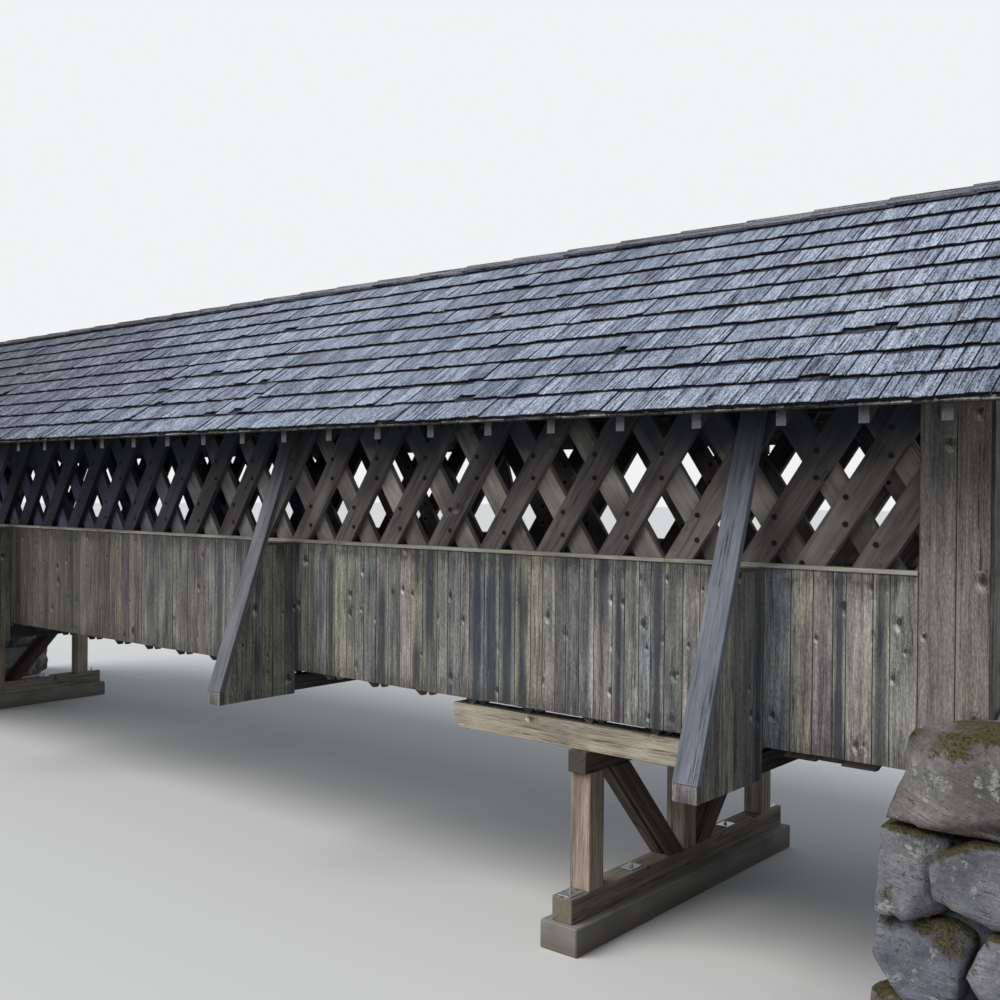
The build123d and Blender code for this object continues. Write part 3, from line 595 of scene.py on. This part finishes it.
    def done(self, material, slot, *nodes, smooth=False):
        mesh = bpy.data.meshes.new(self.name)
        self.mesh.to_mesh(mesh)
        self.mesh.free()
        if smooth:
            mesh.shade_smooth()
        mesh.materials.append(material)
        piece = bpy.data.objects.new(self.name, mesh)
        bpy.context.scene.collection.objects.link(piece)
        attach(piece, "root")
        if nodes:
            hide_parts(*nodes)


def widths(draw, start, stop, least, most):
    """Edges of a row of boards of mixed widths that fills a length."""
    edges = [start]
    while stop - edges[-1] > most * 1.6:
        edges.append(edges[-1] + draw.uniform(least, most))
    spare = stop - edges[-1]
    if spare > most:
        edges.append(edges[-1] + spare / 2)
    return edges + [stop]


def lengths(draw, start, stop, usual):
    """Butt joints of a run of planks of roughly one length."""
    cuts = [start + draw.uniform(0.45, 1.0) * usual]
    while cuts[-1] < stop - usual * 1.3:
        cuts.append(cuts[-1] + usual)
    return [start] + [c for c in cuts if c < stop - usual * 0.3] + [stop]


# Sizes read from the frame

siding_low, siding_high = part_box("near_siding")
rail_low, rail_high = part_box("near_rail")
corner_low, corner_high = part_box("near_corner_boards")
lattice_low, lattice_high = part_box("near_lattice")
HALF_LENGTH = lattice_high.x
SIDING_END = siding_high.x
HALF_WIDTH = -siding_low.y
CHORD_OUTER = -siding_high.y
LATTICE_OUTER, LATTICE_INNER = -lattice_low.y, -lattice_high.y
LATTICE_MIDDLE = (LATTICE_OUTER + LATTICE_INNER) / 2
TRUSS_FOOT, TRUSS_TOP = lattice_low.z, lattice_high.z
BOARD_GAP = 0.0015
END_GAP = 0.001
LAST_BAY_JOINTS = [9.93, 10.185, 10.385, 10.563, 10.675, 10.903, 11.044]
CORNER_SPLIT = 0.53


def side_span(side, outer, inner):
    """Lowest and highest Y of something between two distances from the centre line."""
    return (-outer, -inner) if side < 0 else (inner, outer)


# Siding, rail and corner boards

def build_siding(word, side):
    piece = Piece(word + "_siding_boards")
    y0, y1 = side_span(side, HALF_WIDTH, CHORD_OUTER)
    edges = widths(piece.draw, -SIDING_END, LAST_BAY_JOINTS[0], 0.125, 0.225) + LAST_BAY_JOINTS[1:] + [SIDING_END]
    for left, right in pairs(edges):
        drop = piece.vary(0.0, 0.006)
        sink = piece.vary(0.0, 0.003)
        low = (left + BOARD_GAP, y0 + (sink if side < 0 else 0), siding_low.z + drop)
        high = (right - BOARD_GAP, y1 - (sink if side > 0 else 0), siding_high.z)
        piece.bar(low, high, Z_AXIS, 0.002)
    piece.done(siding_wood, "siding", word + "_siding")


def build_rail(word, side):
    piece = Piece(word + "_rail_cap")
    cap_foot = siding_high.z
    y0, y1 = side_span(side, abs(rail_low.y), LATTICE_OUTER)
    piece.run((-SIDING_END, y0, cap_foot), (SIDING_END, y1, rail_high.z), 4.2, 0.004)
    y0, y1 = side_span(side, CHORD_OUTER, LATTICE_OUTER)
    piece.run((-SIDING_END, y0, rail_low.z), (SIDING_END, y1, cap_foot - 0.001), 4.8, 0.003)
    piece.done(rail_wood, "siding", word + "_rail")


def build_corner_boards(word, side):
    piece = Piece(word + "_corner_planks")
    y0, y1 = side_span(side, HALF_WIDTH, CHORD_OUTER)
    split = SIDING_END + (HALF_LENGTH - SIDING_END) * CORNER_SPLIT
    for end in ENDS.values():
        for inner, outer in ((SIDING_END, split), (split, HALF_LENGTH)):
            left, right = sorted((end * inner, end * outer))
            piece.bar((left + BOARD_GAP, y0, corner_low.z + piece.vary(0, 0.01)),
                      (right - BOARD_GAP, y1, corner_high.z), Z_AXIS, 0.003)
    piece.done(corner_wood, "siding", word + "_corner_boards")


# Trusses

LATTICE_WIDTH = 0.25
LATTICE_THICKNESS = 0.075
CHORD_THICKNESS = 0.075
LATTICE_RISE = 0.57
LATTICE_TIP = 0.015
FIRST_CROSSING = HALF_LENGTH - 1.846
LATTICE_BAYS = 26
LATTICE_STEP = 2 * FIRST_CROSSING / LATTICE_BAYS
CROSSING_LEVEL = TRUSS_FOOT + 1.966
END_PLANK_PITCH = 0.525
END_BAY = 1.75
LATTICE_RUN = LATTICE_STEP / 2 / LATTICE_RISE
SPARE_PLANKS = 4
PEG_RADIUS, PEG_PROUD, PEG_APART = 0.025, 0.009, 0.114


def lattice_plank(piece, side, crossing, lean, middle):
    """One plank that crosses the truss's middle at a place; lean is 1 for those that rise to the right."""
    foot = crossing + lean * LATTICE_RUN * (TRUSS_FOOT - CROSSING_LEVEL)
    head = crossing + lean * LATTICE_RUN * (TRUSS_TOP - CROSSING_LEVEL)
    if min(abs(foot), abs(head)) >= HALF_LENGTH - LATTICE_WIDTH / 2:
        return
    along = Vector((lean * LATTICE_RUN, 0, 1)).normalized()
    level = TRUSS_FOOT - LATTICE_TIP + LATTICE_WIDTH / 2 * abs(along.x)
    if abs(foot) > HALF_LENGTH - END_BAY:
        level = TRUSS_FOOT - LATTICE_WIDTH

    def at(z):
        return Vector((crossing + lean * LATTICE_RUN * (z - CROSSING_LEVEL), side * middle, z))

    tone = piece.vary(0.0, 0.45) if lean > 0 else piece.vary(0.55, 1.0)
    made = piece.plank(at(level), at(TRUSS_TOP + LATTICE_WIDTH), Vector((0, side, 0)), LATTICE_WIDTH,
                       LATTICE_THICKNESS, 0.005, tone)
    for point, normal in ((Z_AXIS * TRUSS_FOOT, -Z_AXIS), (Z_AXIS * TRUSS_TOP, Z_AXIS),
                          (X_AXIS * HALF_LENGTH, X_AXIS), (X_AXIS * -HALF_LENGTH, -X_AXIS)):
        made = piece.saw(made, point, normal)


def build_lattice(word, side):
    piece = Piece(word + "_lattice_planks")
    regular = [FIRST_CROSSING - LATTICE_STEP * k for k in range(-SPARE_PLANKS, LATTICE_BAYS + SPARE_PLANKS + 1)]
    close = [FIRST_CROSSING + END_PLANK_PITCH * k for k in range(1, SPARE_PLANKS + 2)]
    rising = [x for x in regular if x < FIRST_CROSSING + END_PLANK_PITCH / 2] + close
    half = LATTICE_THICKNESS / 2
    for x in rising:
        lattice_plank(piece, side, x, 1, LATTICE_MIDDLE + half)
    for x in regular:
        lattice_plank(piece, side, x, -1, LATTICE_MIDDLE - half)
    piece.done(lattice_wood, "dark_timber", word + "_lattice")
    build_pegs(word, side, rising, regular)


def build_pegs(word, side, rising, falling):
    """Two wooden pegs through every crossing of the lattice."""
    piece = Piece(word + "_lattice_pegs")
    depth = LATTICE_OUTER - LATTICE_INNER + 2 * PEG_PROUD
    for a in rising:
        for b in falling:
            level = CROSSING_LEVEL + (b - a) / (2 * LATTICE_RUN)
            x = (a + b) / 2
            if not (TRUSS_FOOT + 0.2 < level < TRUSS_TOP - 0.2 and abs(x) < HALF_LENGTH - 0.15):
                continue
            for z in (level - PEG_APART, level + PEG_APART):
                piece.rod((x, side * LATTICE_MIDDLE, z), Y_AXIS, PEG_RADIUS, depth, 8)
    piece.done(peg_wood, "dark_timber")


def build_chords(word, side):
    for level in ("bottom", "top"):
        low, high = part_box(f"{word}_{level}_chord")
        piece = Piece(f"{word}_{level}_chord_planks")
        outer = abs(high.y) if side > 0 else abs(low.y)
        for outer, inner in ((outer, LATTICE_OUTER), (LATTICE_INNER, LATTICE_INNER - CHORD_THICKNESS)):
            y0, y1 = side_span(side, outer, inner)
            piece.run((-HALF_LENGTH, y0, low.z), (HALF_LENGTH, y1, high.z), 5.2, 0.004)
        piece.done(frame_wood, "dark_timber", f"{word}_{level}_chord")


# Floor

def build_deck():
    low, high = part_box("deck")
    piece = Piece("deck_planks")
    for near, far in pairs(widths(piece.draw, low.y, high.y, 0.18, 0.21)):
        for left, right in pairs(lengths(piece.draw, low.x, high.x, 4.2)):
            top = high.z - piece.vary(0, 0.003)
            piece.bar((left + 0.002, near + 0.003, low.z), (right - 0.002, far - 0.003, top), X_AXIS, 0.004)
    piece.done(deck_wood, "deck_planks", "deck")


def build_taken(name, material, slot, node, along, edge):
    """A piece that copies its CAD node."""
    piece = Piece(name)
    piece.take(node, along, edge)
    piece.done(material, slot, node)


# Roof

ROOF_PITCH = 0.75
PITCH_COS, PITCH_SIN = 0.8, 0.6
DOWN = {side: Vector((0, side * PITCH_COS, -PITCH_SIN)) for side in (-1, 1)}
OUT = {side: Vector((0, side * PITCH_SIN, PITCH_COS)) for side in (-1, 1)}
shake_low, shake_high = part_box("near_roof_shakes")
ROOF_END = shake_high.x
SHAKE_END = ROOF_END - 0.004
SHEATHING_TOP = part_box("near_roof_boards")[1].z
SHEATHING_THICK = 0.028
EAVE_LENGTH = abs(shake_low.y) / PITCH_COS
CAP_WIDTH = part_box("ridge_cap")[1].y / PITCH_COS * 0.76
CAP_BOARD, CAP_LAP, CAP_THICK = 0.8, 0.07, 0.029
EXPOSURE = 0.3523
COURSES = 10
SHAKE_LENGTH = 0.70
SHAKE_LIFT = 0.060
CAP_LIFT = SHAKE_LIFT - 0.031
SHAKE_KEYS = (0.0, 0.33, 0.67, 1.0)


def on_roof(side, x, down, out):
    """A point on one slope: down from the ridge and out from the sheathing's top."""
    return Vector((x, 0, SHEATHING_TOP)) + DOWN[side] * down + OUT[side] * out


def roof_panel(piece, side, span, reach, out, thick):
    """A flat board on one slope, between two places along the roof and two down it."""
    (left, right), (upper, lower) = span, reach
    corners = [on_roof(side, x, down, out) for x, down in
               ((left, upper), (right, upper), (right, lower), (left, lower))]
    piece.slab(corners, OUT[side] * thick, X_AXIS, 0)


def shake(piece, side, left, right, butt, top, butt_out, thick, tone):
    """One split shake, thick at its butt and thin under the next courses."""
    draw = piece.draw
    made = bmesh.ops.create_cube(piece.mesh, size=1.0)["verts"]
    rungs = [e for e in touching("edges", made) if abs(e.verts[0].co.x - e.verts[1].co.x) > 0.5]
    made = piece.divide(rungs, 2)
    skew = draw.uniform(-0.006, 0.006)
    ridges = {key: (draw.uniform(-0.0035, 0.0035), draw.uniform(-0.008, 0.008)) for key in SHAKE_KEYS}
    for v in made:
        across, along, upper = v.co.x + 0.5, v.co.y + 0.5, v.co.z > 0
        ridge, ragged = ridges[round(across, 2)]
        down = butt + ragged if along < 0.5 else top
        if along < 0.5:
            out = butt_out + ridge if upper else butt_out - thick
        else:
            out = 0.008 if upper else 0.002
        x = left + (right - left) * across + (skew if along < 0.5 else 0)
        v.co = on_roof(side, x, down, out)
    bmesh.ops.recalc_face_normals(piece.mesh, faces=touching("faces", made))
    piece.mark(made, DOWN[side], X_AXIS, tone)


def build_shakes(word, side):
    """Ten lapped courses, a few shakes slipped, lifted or wide apart, and a last row under the ridge cap."""
    piece = Piece(word + "_split_shakes")
    draw = piece.draw
    for k in range(COURSES):
        line = EAVE_LENGTH - EXPOSURE * k
        edges = widths(draw, -SHAKE_END, SHAKE_END, 0.11, 0.27)
        wave = [draw.uniform(0, 6.28) for _ in range(2)]
        for left, right in pairs(edges):
            middle = (left + right) / 2
            butt = line - 0.012 + 0.006 * math.sin(middle * 1.3 + wave[0]) + draw.uniform(-0.009, 0.009)
            butt = min(butt, EAVE_LENGTH - (0.008 if k == 0 else 0.0))
            lift = SHAKE_LIFT - 0.002 + draw.uniform(-0.005, 0.002)
            thick = draw.uniform(0.022, 0.03)
            gap = draw.uniform(0.002, 0.006)
            chance = draw.random()
            if chance < 0.02 and k > 0:
                butt -= draw.uniform(0.03, 0.10)
            elif chance < 0.06:
                lift += draw.uniform(0.005, 0.02)
            elif chance < 0.075:
                gap += 0.006
            top = max(butt - SHAKE_LENGTH, 0.012)
            shake(piece, side, left + gap, right - gap, butt, top, lift, thick, draw.random())
    line = CAP_WIDTH - 0.05
    for left, right in pairs(widths(draw, -SHAKE_END, SHAKE_END, 0.12, 0.27)):
        butt = line + draw.uniform(-0.006, 0.006)
        shake(piece, side, left + 0.003, right - 0.003, butt, 0.002, CAP_LIFT, 0.02, draw.random())
    piece.done(shake_wood, "shakes", word + "_roof_shakes")


def build_starters(word, side):
    """The plain short course under the first shakes, seen as a pale edge along the eave."""
    piece = Piece(word + "_starter_shakes")
    draw = piece.draw
    for left, right in pairs(widths(draw, -ROOF_END + 0.01, ROOF_END - 0.01, 0.14, 0.3)):
        foot = EAVE_LENGTH - 0.004 - draw.uniform(0, 0.005)
        roof_panel(piece, side, (left + 0.002, right - 0.002), (foot - 0.36, foot), 0.001,
                   draw.uniform(0.010, 0.015))
    piece.done(starter_wood, "shakes")


def build_ridge_cap():
    piece = Piece("ridge_cap_boards")
    draw = piece.draw
    near_out, far_out = CAP_LIFT, CAP_LIFT + 0.016
    for side in SIDES.values():
        x = -ROOF_END
        while x < ROOF_END - 0.05:
            right = min(x + CAP_BOARD + draw.uniform(-0.05, 0.05), ROOF_END)
            lap = min(right + CAP_LAP, ROOF_END)
            far_foot, near_foot = [CAP_WIDTH - draw.uniform(0, 0.012) for _ in range(2)]
            corners = [on_roof(side, x + END_GAP, 0.0, far_out), on_roof(side, x + END_GAP, far_foot, far_out),
                       on_roof(side, lap, near_foot, near_out), on_roof(side, lap, 0.0, near_out)]
            piece.slab(corners, OUT[side] * CAP_THICK, X_AXIS, 0, draw.random())
            x = right
    piece.done(ridge_wood, "shakes", "ridge_cap")


def build_roof_boards(word, side):
    piece = Piece(word + "_sheathing")
    low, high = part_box(word + "_roof_boards")
    reach = max(abs(low.y), abs(high.y)) / PITCH_COS
    for upper, lower in pairs(widths(piece.draw, 0.004, reach, 0.17, 0.24)):
        for left, right in pairs(lengths(piece.draw, low.x, high.x, 4.5)):
            roof_panel(piece, side, (left + END_GAP, right - END_GAP), (upper + 0.004, lower - 0.004),
                       -SHEATHING_THICK, SHEATHING_THICK - 0.001)
    piece.done(frame_wood, "dark_timber", word + "_roof_boards")


# Portals

OPENING_WIDTH, OPENING_HEAD, JAMB_SPLIT = 1.64, 5.5, 1.82
PORTAL_BOARD = 0.025


def build_portal(word, end):
    low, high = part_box(word + "_portal")
    piece = Piece(word + "_portal_boards")
    inner = end * HALF_LENGTH
    depth = Vector((end * PORTAL_BOARD, 0, 0))
    for side in SIDES.values():
        for a, b in pairs(widths(piece.draw, 0.0, OPENING_WIDTH, 0.17, 0.25) + [JAMB_SPLIT, HALF_WIDTH]):
            foot = OPENING_HEAD if a < OPENING_WIDTH - 0.01 else low.z
            a, b = side * (a + BOARD_GAP), side * (b - BOARD_GAP)
            outline = [(inner, a, foot), (inner, b, foot), (inner, b, high.z - ROOF_PITCH * abs(b)),
                       (inner, a, high.z - ROOF_PITCH * abs(a))]
            piece.slab([Vector(p) for p in outline], depth, Z_AXIS, 0.002)
    piece.done(siding_wood, "siding", word + "_portal")


# Buttresses

brace_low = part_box("near_brace_planks")[0]
skirt_low, skirt_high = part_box("near_buttress_boards")
END_BUTTRESS, INNER_BUTTRESS = HALF_LENGTH - 2.007, HALF_LENGTH - 8.26
BUTTRESS_PLACES = (-END_BUTTRESS, -INNER_BUTTRESS, INNER_BUTTRESS, END_BUTTRESS)
BRACE_WIDTH = 0.235
BRACE_FOOT = brace_low.z
BRACE_REACH = -brace_low.y
BRACE_LEAN = 1.114 / (5.206 - 2.101)
BRACE_DEPTH = 0.064 * math.hypot(1, BRACE_LEAN)
SKIRT_BOARD = 0.022
COVER, COVER_LAP = 0.024, 0.012


def brace_line(z):
    return BRACE_REACH - BRACE_LEAN * (z - BRACE_FOOT)


def build_buttress(word, side):
    piece = Piece(word + "_buttress_cladding")
    outer = brace_line(BRACE_FOOT) - BRACE_DEPTH
    top = skirt_high.z
    inner_top = brace_line(top) - BRACE_DEPTH
    slope = Vector((0, side, BRACE_LEAN)).normalized()
    for x in BUTTRESS_PLACES:
        for left in (x - BRACE_WIDTH / 2, x + BRACE_WIDTH / 2 - SKIRT_BOARD):
            for a, b in pairs(widths(piece.draw, HALF_WIDTH, outer, 0.14, 0.21)):
                y0, y1 = side_span(side, b - BOARD_GAP, a + BOARD_GAP)
                made = piece.bar((left, y0, skirt_low.z + piece.vary(0, 0.004)),
                                 (left + SKIRT_BOARD, y1, top - COVER), Z_AXIS, 0.002)
                piece.saw(made, Vector((0, side * outer, BRACE_FOOT)), slope)
        y0, y1 = side_span(side, BRACE_REACH - 0.006, outer)
        piece.bar((x - BRACE_WIDTH / 2, y0, skirt_low.z), (x + BRACE_WIDTH / 2, y1, BRACE_FOOT), Z_AXIS, 0.003, 0.9)
        y0, y1 = side_span(side, inner_top, HALF_WIDTH)
        reach = BRACE_WIDTH / 2 + COVER_LAP
        piece.bar((x - reach, y0, top - COVER), (x + reach, y1, top), Y_AXIS, 0.003, 1.0)
    piece.done(cheek_wood, "siding", word + "_buttress_boards")


# Bents

def slanting(centre):
    """The bent braces run up and out from the middle of the sill."""
    return Vector((0, math.copysign(1.0, centre.y), 1.0745))


PLATE_HALF_X, PLATE_HALF_Y, PLATE_THICK = 0.075, 0.1, 0.01
PLATE_PLACES = (-2.0905, -1.01, 1.01, 2.0905)
BOLT_PARTS = ((0.028, 0.01, 0.014, 20), (0.020, 0.014, 0.031, 6), (0.010, 0.031, 0.07, 12))


def build_plates():
    """Sill plates, each with a washer, a nut and a bolt's end."""
    piece = Piece("sill_anchor_plates")
    low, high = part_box("anchor_plates")
    bent = high.x - PLATE_HALF_X
    for x in (-bent, bent):
        for y in PLATE_PLACES:
            piece.bar((x - PLATE_HALF_X, y - PLATE_HALF_Y, low.z),
                      (x + PLATE_HALF_X, y + PLATE_HALF_Y, low.z + PLATE_THICK), Y_AXIS, 0.002)
            for radius, foot, head, sides in BOLT_PARTS:
                piece.rod((x, y, low.z + (foot + head) / 2), Z_AXIS, radius, head - foot, sides)
    piece.done(plate_steel, "steel", "anchor_plates")


# Abutments

SEAT, CHEEK_TOP, BACK_JOINT = 1.965, 2.75, 2.42
COURSE_LEVELS = (0.0, 0.72, 1.36, SEAT)
BAY = 1.995
BATTER = 0.15
STONE_CUTS = 12


def stone(piece, low, high, limit_low, limit_high):
    """A field stone that fills a space between two corners, split along flat faces and weathered rough."""
    draw = piece.draw
    low, high = Vector(low), Vector(high)
    half, middle = (high - low) / 2, (low + high) / 2
    made = bmesh.ops.create_cube(piece.mesh, size=2.0)["verts"]
    made = piece.divide(touching("edges", made), STONE_CUTS)
    splits = []
    for axis in AXES:
        for way in (-1, 1):
            tilt = Vector([draw.uniform(-0.15, 0.15) for _ in range(3)])
            splits.append(((axis * way + tilt).normalized(), draw.uniform(0.93, 1.03)))
    for _ in range(11):
        splits.append((Vector([draw.gauss(0, 1) for _ in range(3)]).normalized(), draw.uniform(1.02, 1.24)))
    start = Vector([draw.uniform(0, 50) for _ in range(3)])
    for v in made:
        way = v.co.normalized()
        far = 1 / max(way.dot(face) / reach for face, reach in splits)
        shape = Vector([a * b for a, b in zip(way * far, half)]) * 1.04
        p = shape + start
        rough = noise.noise(p * 2.4) * 0.05 + noise.noise(p * 6.5) * 0.022 + noise.noise(p * 16.0) * 0.009
        q = middle + shape + shape.normalized() * rough
        v.co = Vector([min(max(c, a), b) for c, a, b in zip(q, limit_low, limit_high)])
    piece.mark(made, X_AXIS, Y_AXIS)


def build_abutment(word, end):
    """Three battered courses up to the seat, a back wall, a cheek stone each side and fill behind the joints."""
    low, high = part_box(word + "_abutment")
    piece = Piece(word + "_stonework")
    draw = piece.draw
    face, back = sorted((abs(low.x), abs(high.x)))
    wide = high.y
    portal_face = HALF_LENGTH + PORTAL_BOARD
    lean = BATTER / high.z

    def course(x0, x1, y0, y1, z0, z1, across):
        """A row of stones over a plan area, with joints that wander."""
        count = max(1, round((y1 - y0) / across))
        wander = [draw.uniform(-0.18, 0.18) if 0 < i < count else 0 for i in range(count + 1)]
        for a, b in pairs([y0 + (y1 - y0) * (i + shift) / count for i, shift in enumerate(wander)]):
            near, far = sorted((end * (x0 + draw.uniform(-0.01, 0.03)), end * x1))
            stone(piece, (near, a, z0), (far, b, z1), (low.x, low.y, 0.0), (high.x, high.y, z1 + 0.004))

    for row, (z0, z1) in enumerate(pairs(COURSE_LEVELS)):
        inset = lean * (z0 + z1) / 2
        x0, y1 = face + inset, wide - inset
        split = (x0 + back) / 2 + draw.uniform(-0.12, 0.12)
        course(x0, split, -y1, y1, z0, z1, 0.92 - row * 0.1)
        course(split, back, -y1, y1, z0, z1, 0.95 - row * 0.1)
    for z0, z1 in pairs((SEAT, BACK_JOINT, high.z)):
        course(portal_face + 0.005, back, -BAY, BAY, z0, z1, 0.72)
    for side in SIDES.values():
        a, b = side_span(side, wide - lean * SEAT - 0.02, BAY + 0.01)
        near, far = sorted((end * (HALF_LENGTH - 0.42), end * back))
        stone(piece, (near, a, SEAT), (far, b, CHEEK_TOP), (low.x, low.y, SEAT), (high.x, high.y, CHEEK_TOP))
    fill_top = SEAT - 0.06
    for face, half, foot, top in ((face + 0.25, wide - 0.35, 0.0, fill_top),
                                  (portal_face + 0.1, wide - 0.4, fill_top, CHEEK_TOP - 0.15)):
        x0, x1 = sorted((end * face, end * (back - 0.16)))
        piece.bar((x0, -half, foot), (x1, half, top), X_AXIS, 0, 0.1)
    piece.done(stone_face, "stone", word + "_abutment", smooth=True)


for word, side in SIDES.items():
    for build in (build_siding, build_rail, build_corner_boards, build_lattice, build_chords, build_shakes,
                  build_starters, build_roof_boards):
        build(word, side)
    build_taken(word + "_rafter_stock", rafter_wood, "dark_timber", word + "_rafters", DOWN[side], 0.003)
    build_taken(word + "_brace_timbers", brace_wood, "grey_plank", word + "_brace_planks",
                Vector((0, -side * BRACE_LEAN, 1)), 0.005)
    build_buttress(word, side)
build_ridge_cap()
build_deck()
for word, end in ENDS.items():
    build_portal(word, end)
    build_abutment(word, end)
for taken in (
        ("floor_joists", frame_wood, "dark_timber", "floor_beams", Y_AXIS, 0.004),
        ("cross_ties", frame_wood, "dark_timber", "tie_beams", Y_AXIS, 0.004),
        ("ridge_plank", frame_wood, "dark_timber", "ridge_board", X_AXIS, 0.004),
        ("outrigger_timbers", frame_wood, "post_timber", "outriggers", Y_AXIS, 0.005),
        ("bolster_beams", pale_wood, "new_timber", "bolsters", X_AXIS, 0.006),
        ("cap_beams", dark_post_wood, "post_timber", "bent_caps", Y_AXIS, 0.006),
        ("posts", post_wood, "post_timber", "bent_posts", Z_AXIS, 0.007),
        ("sill_beams", sill_wood, "post_timber", "bent_sills", Y_AXIS, 0.008),
        ("slanted_braces", dark_post_wood, "post_timber", "bent_braces", slanting, 0.004),
        ("footing_strips", footing_face, "concrete", "bent_footings", Y_AXIS, 0.012),
        ("bed_beams", post_wood, "post_timber", "bed_timbers", Y_AXIS, 0.006)):
    build_taken(*taken)
build_plates()


# Floor, light and camera

KEY_TRAVEL = Vector((0.42, 0.72, -0.80))


def build_studio():
    """A pale floor and sky, white only to the eye, and one soft lamp."""
    bpy.ops.mesh.primitive_plane_add(size=600, location=(0, 0, 0))
    ground = bpy.context.object
    ground.name = "studio_floor"
    f = Finish("studio_floor")
    colour = f.mix(f.seen_directly(), (0.30, 0.30, 0.29), (0.80, 0.80, 0.79))
    f.add("OutputMaterial", None, {"Surface": f.add("BsdfDiffuse", None, {"Color": colour})})
    ground.data.materials.append(f.owner)

    f = Finish("studio", bpy.data.worlds)
    light = f.add("Background", None, {"Color": (0.86, 0.92, 1.0, 1), "Strength": 0.42})
    sky = f.add("Background", None, {"Color": (0.93, 0.94, 0.95, 1), "Strength": 0.95})
    f.add("OutputWorld", None, {"Surface": f.add("MixShader", None, {0: f.seen_directly(), 1: light, 2: sky})})
    bpy.context.scene.world = f.owner

    lamp = bpy.data.lights.new("soft_key", "SUN")
    lamp.energy = 2.1
    lamp.angle = math.radians(45)
    lamp.color = (1.0, 0.985, 0.96)
    key = bpy.data.objects.new("soft_key", lamp)
    key.rotation_euler = KEY_TRAVEL.to_track_quat("-Z", "Y").to_euler()
    bpy.context.scene.collection.objects.link(key)


VIEW_TURN, VIEW_DROP, VIEW_ROLL = math.radians(39.93), math.radians(0.41), math.radians(0.50)
CAMERA_PLACE = Vector((14.500, -11.036, 4.443))
FOCAL_PIXELS = 1134.7
PHOTO_WIDTH = 1000
SENSOR = 36.0


def build_camera():
    """The photograph's view: turned left, a little down and a little rolled."""
    data = bpy.data.cameras.new("photo_view")
    data.sensor_width = SENSOR
    data.lens = SENSOR * FOCAL_PIXELS / PHOTO_WIDTH
    data.clip_end = 500
    camera = bpy.data.objects.new("photo_view", data)
    turn, tilt, roll = [Matrix.Rotation(angle, 4, axis) for angle, axis in
                        ((VIEW_TURN, "Z"), (math.pi / 2 - VIEW_DROP, "X"), (VIEW_ROLL, "Z"))]
    camera.matrix_world = Matrix.Translation(CAMERA_PLACE) @ turn @ tilt @ roll
    bpy.context.scene.collection.objects.link(camera)
    bpy.context.scene.camera = camera


build_studio()
build_camera()
bpy.context.scene.view_settings.view_transform = "Standard"
bpy.context.view_layer.update()
